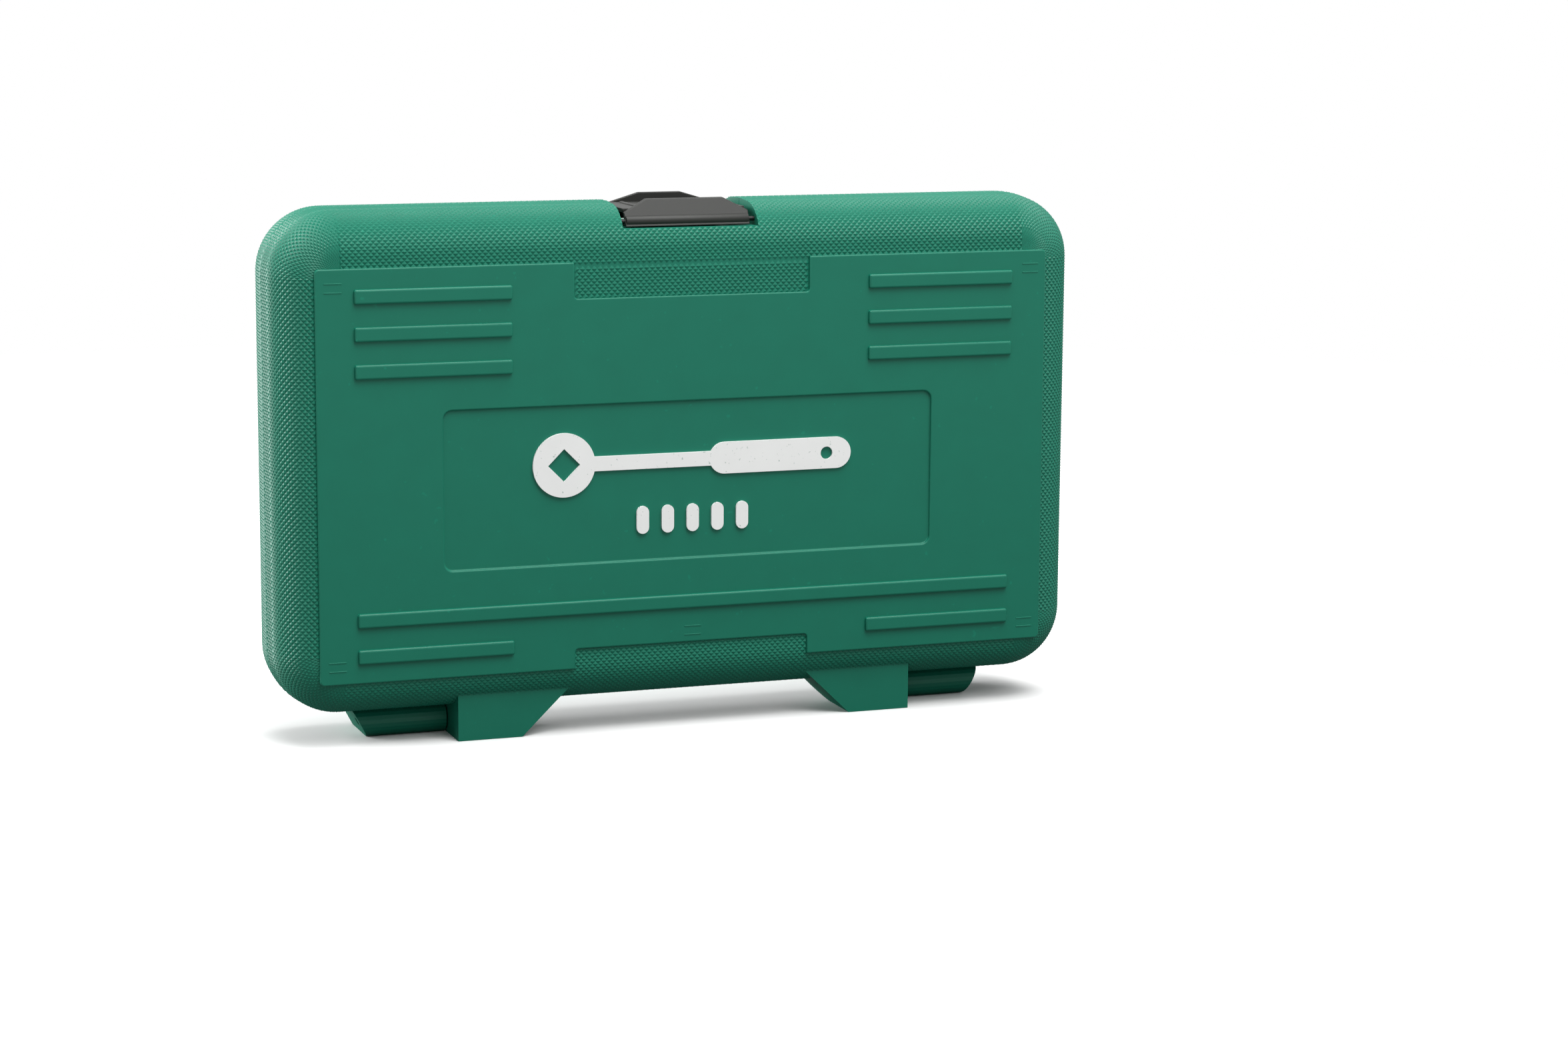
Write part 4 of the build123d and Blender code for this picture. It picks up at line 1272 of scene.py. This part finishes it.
@dataclass
class Studio:
    """Pale floor, soft lights and the camera."""

    floor_half: float = 6.0
    ambient: float = 0.36
    floor_white: float = 0.88
    bounce: float = 0.16
    fade_start: float = 0.35
    fade_end: float = 1.1
    camera_place: Vector = Vector((-0.3877, -1.1613, 0.2800))
    heading: float = math.radians(20.30)
    dip: float = math.radians(9.80)
    roll: float = math.radians(0.42)
    lens: float = 81.47

    def floor(self) -> None:
        """Makes the floor, which turns to plain white away from the object."""
        bm = bmesh.new()
        bmesh.ops.create_grid(bm, x_segments=1, y_segments=1, size=self.floor_half)
        plane = new_object("floor", bm, 1.0)
        material, tree, shader = new_material("studio white")
        white = Colour(self.floor_white, self.floor_white, self.floor_white)
        rays = tree.nodes.new("ShaderNodeLightPath").outputs["Is Camera Ray"]
        tone = mix_colours(tree, rays, white.rgba(self.bounce), white.rgba())
        tree.links.new(tone, shader.inputs["Base Color"])
        shader.inputs["Roughness"].default_value = 0.6
        shader.inputs["Specular IOR Level"].default_value = 0.2
        reach = tree.nodes.new("ShaderNodeVectorMath")
        reach.operation = "LENGTH"
        tree.links.new(object_place(tree), reach.inputs[0])
        fade = spread(tree, reach.outputs["Value"], self.fade_start, self.fade_end)
        glow = tree.nodes.new("ShaderNodeEmission")
        glow.inputs["Color"].default_value = (1.0, 1.0, 1.0, 1.0)
        glow.inputs["Strength"].default_value = 1.0
        blend = tree.nodes.new("ShaderNodeMixShader")
        tree.links.new(fade, blend.inputs["Fac"])
        tree.links.new(shader.outputs["BSDF"], blend.inputs[1])
        tree.links.new(glow.outputs["Emission"], blend.inputs[2])
        tree.links.new(blend.outputs["Shader"], tree.nodes["Material Output"].inputs["Surface"])
        plane.data.materials.append(material)

    def lamp(
        self, name: str, place: tuple[float, float, float], aim: Vector, size: float, power: float
    ) -> None:
        """Adds a square area light.

        Args:
            name: Name of the light.
            place: Where it hangs, in metres.
            aim: The point it faces.
            size: Length of its side.
            power: Its power in watts.
        """
        data = bpy.data.lights.new(name, "AREA")
        data.size = size
        data.energy = power
        light = bpy.data.objects.new(name, data)
        light.location = place
        light.rotation_euler = (aim - Vector(place)).to_track_quat("-Z", "Y").to_euler()
        bpy.context.collection.objects.link(light)

    def lights(self, middle: Vector) -> None:
        """Adds the soft lights and the white surroundings.

        Args:
            middle: Middle of the object.
        """
        world = bpy.data.worlds.new("studio")
        world.use_nodes = True
        tree = world.node_tree
        background = tree.nodes["Background"]
        background.inputs["Color"].default_value = (1.0, 1.0, 1.0, 1.0)
        rays = tree.nodes.new("ShaderNodeLightPath").outputs
        seen = maths(tree, "MAXIMUM", rays["Is Camera Ray"], rays["Is Glossy Ray"])
        strength = maths(tree, "MULTIPLY_ADD", seen, 1.0 - self.ambient, self.ambient)
        tree.links.new(strength, background.inputs["Strength"])
        bpy.context.scene.world = world
        bpy.context.scene.view_settings.view_transform = "Standard"
        self.lamp("overhead", (0.1, -0.3, 1.7), middle, 1.4, 38.0)
        self.lamp("left_side", (-1.5, 0.9, 0.6), middle, 1.2, 48.0)
        self.lamp("front", (0.5, -1.3, 1.8), middle, 1.3, 26.0)

    def camera(self) -> None:
        """Adds the camera."""
        data = bpy.data.cameras.new("camera")
        data.lens = self.lens
        data.sensor_width = 36.0
        data.clip_start = 0.05
        data.clip_end = 50.0
        camera = bpy.data.objects.new("camera", data)
        camera.location = self.camera_place
        turn = Euler((math.pi / 2 - self.dip, 0.0, -self.heading), "XYZ").to_matrix()
        camera.rotation_euler = (turn @ Matrix.Rotation(self.roll, 3, "Z")).to_euler()
        bpy.context.collection.objects.link(camera)
        bpy.context.scene.camera = camera

    def build(self, middle: Vector) -> None:
        """Makes the whole studio.

        Args:
            middle: Middle of the object.
        """
        self.floor()
        self.lights(middle)
        self.camera()


# ---------------------------------------------------------------- dressing


def dress_nodes(frame: dict, materials: dict[str, bpy.types.Material]) -> None:
    """Gives every CAD node that stays the finish of its material slot.

    Args:
        materials: Finish by slot name.
    """
    slots = {part["node"]: part["material_slot"] for part in frame["record"]["subparts"]}
    slots["latch_pin"] = "pin_black"
    for node, piece in frame["nodes"].items():
        piece.data.materials.clear()
        piece.data.materials.append(materials[slots[node]])
        LOG.info("%s dressed as %s", node, slots[node])
    soften(frame["nodes"]["emblem"], EMBLEM_SOFT, segments=2, angle=35.0)


def compressing_spring(frame: dict, material: bpy.types.Material) -> bpy.types.Object:
    """Makes the button's spring again as a welded copy that hangs on the ratchet drive's body.

    Args:
        material: The spring's finish.

    Returns:
        The finished piece.
    """
    bm = bmesh.new()
    bm.from_mesh(frame["nodes"]["button_spring"].data)
    bmesh.ops.remove_doubles(bm, verts=bm.verts, dist=WELD_REACH)
    bmesh.ops.recalc_face_normals(bm, faces=bm.faces)
    coil = new_object("button_coil", bm, 1.0)
    shade(coil, angle=50.0)
    coil.data.materials.append(material)
    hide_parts("button_spring")
    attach(coil, "ratchet_drive")
    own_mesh(coil)
    LOG.info("%s: %d faces", coil.name, len(coil.data.polygons))
    return coil


def main() -> None:
    """Builds the classes in order."""
    logging.basicConfig(level=logging.INFO, format="%(message)s")
    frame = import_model()
    for make_group in (moulded_grain, handling_wear, drawn_lines):
        make_group()
    materials = {slot: finish.build() for slot, finish in FINISHES.items()}
    dress_nodes(frame, materials)
    low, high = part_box("lid_shell")
    shape = CaseShape(half_width=high.x / MM, crest=high.z / MM, sole=11.0)
    lid = CaseHalf(
        "lid_case", Side.LID, shape, "lid_shell", "lid", True,
        knuckle_low=60.0, knuckle_high=82.5, low_flank=46.0, high_flank=0.0, bore=1.55,
    )
    base = CaseHalf(
        "base_case", Side.BASE, shape, "base_shell", "base", False,
        knuckle_low=83.0, knuckle_high=110.5, low_flank=0.0, high_flank=28.0, bore=1.5,
    )
    for half in (lid, base):
        half.build(materials["case_green"])
    pin_low, pin_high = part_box("latch_pin")
    pin_y = (pin_low.y + pin_high.y) / 2 / MM
    pin_z = (pin_low.z + pin_high.z) / 2 / MM
    Latch(pin_y, pin_z).build(materials["latch_black"])
    compressing_spring(frame, materials["spring_steel"])
    Studio().build(Vector(((low.x + high.x) / 2, 0.0, high.z / 2)))


if __name__ == "__main__":
    main()
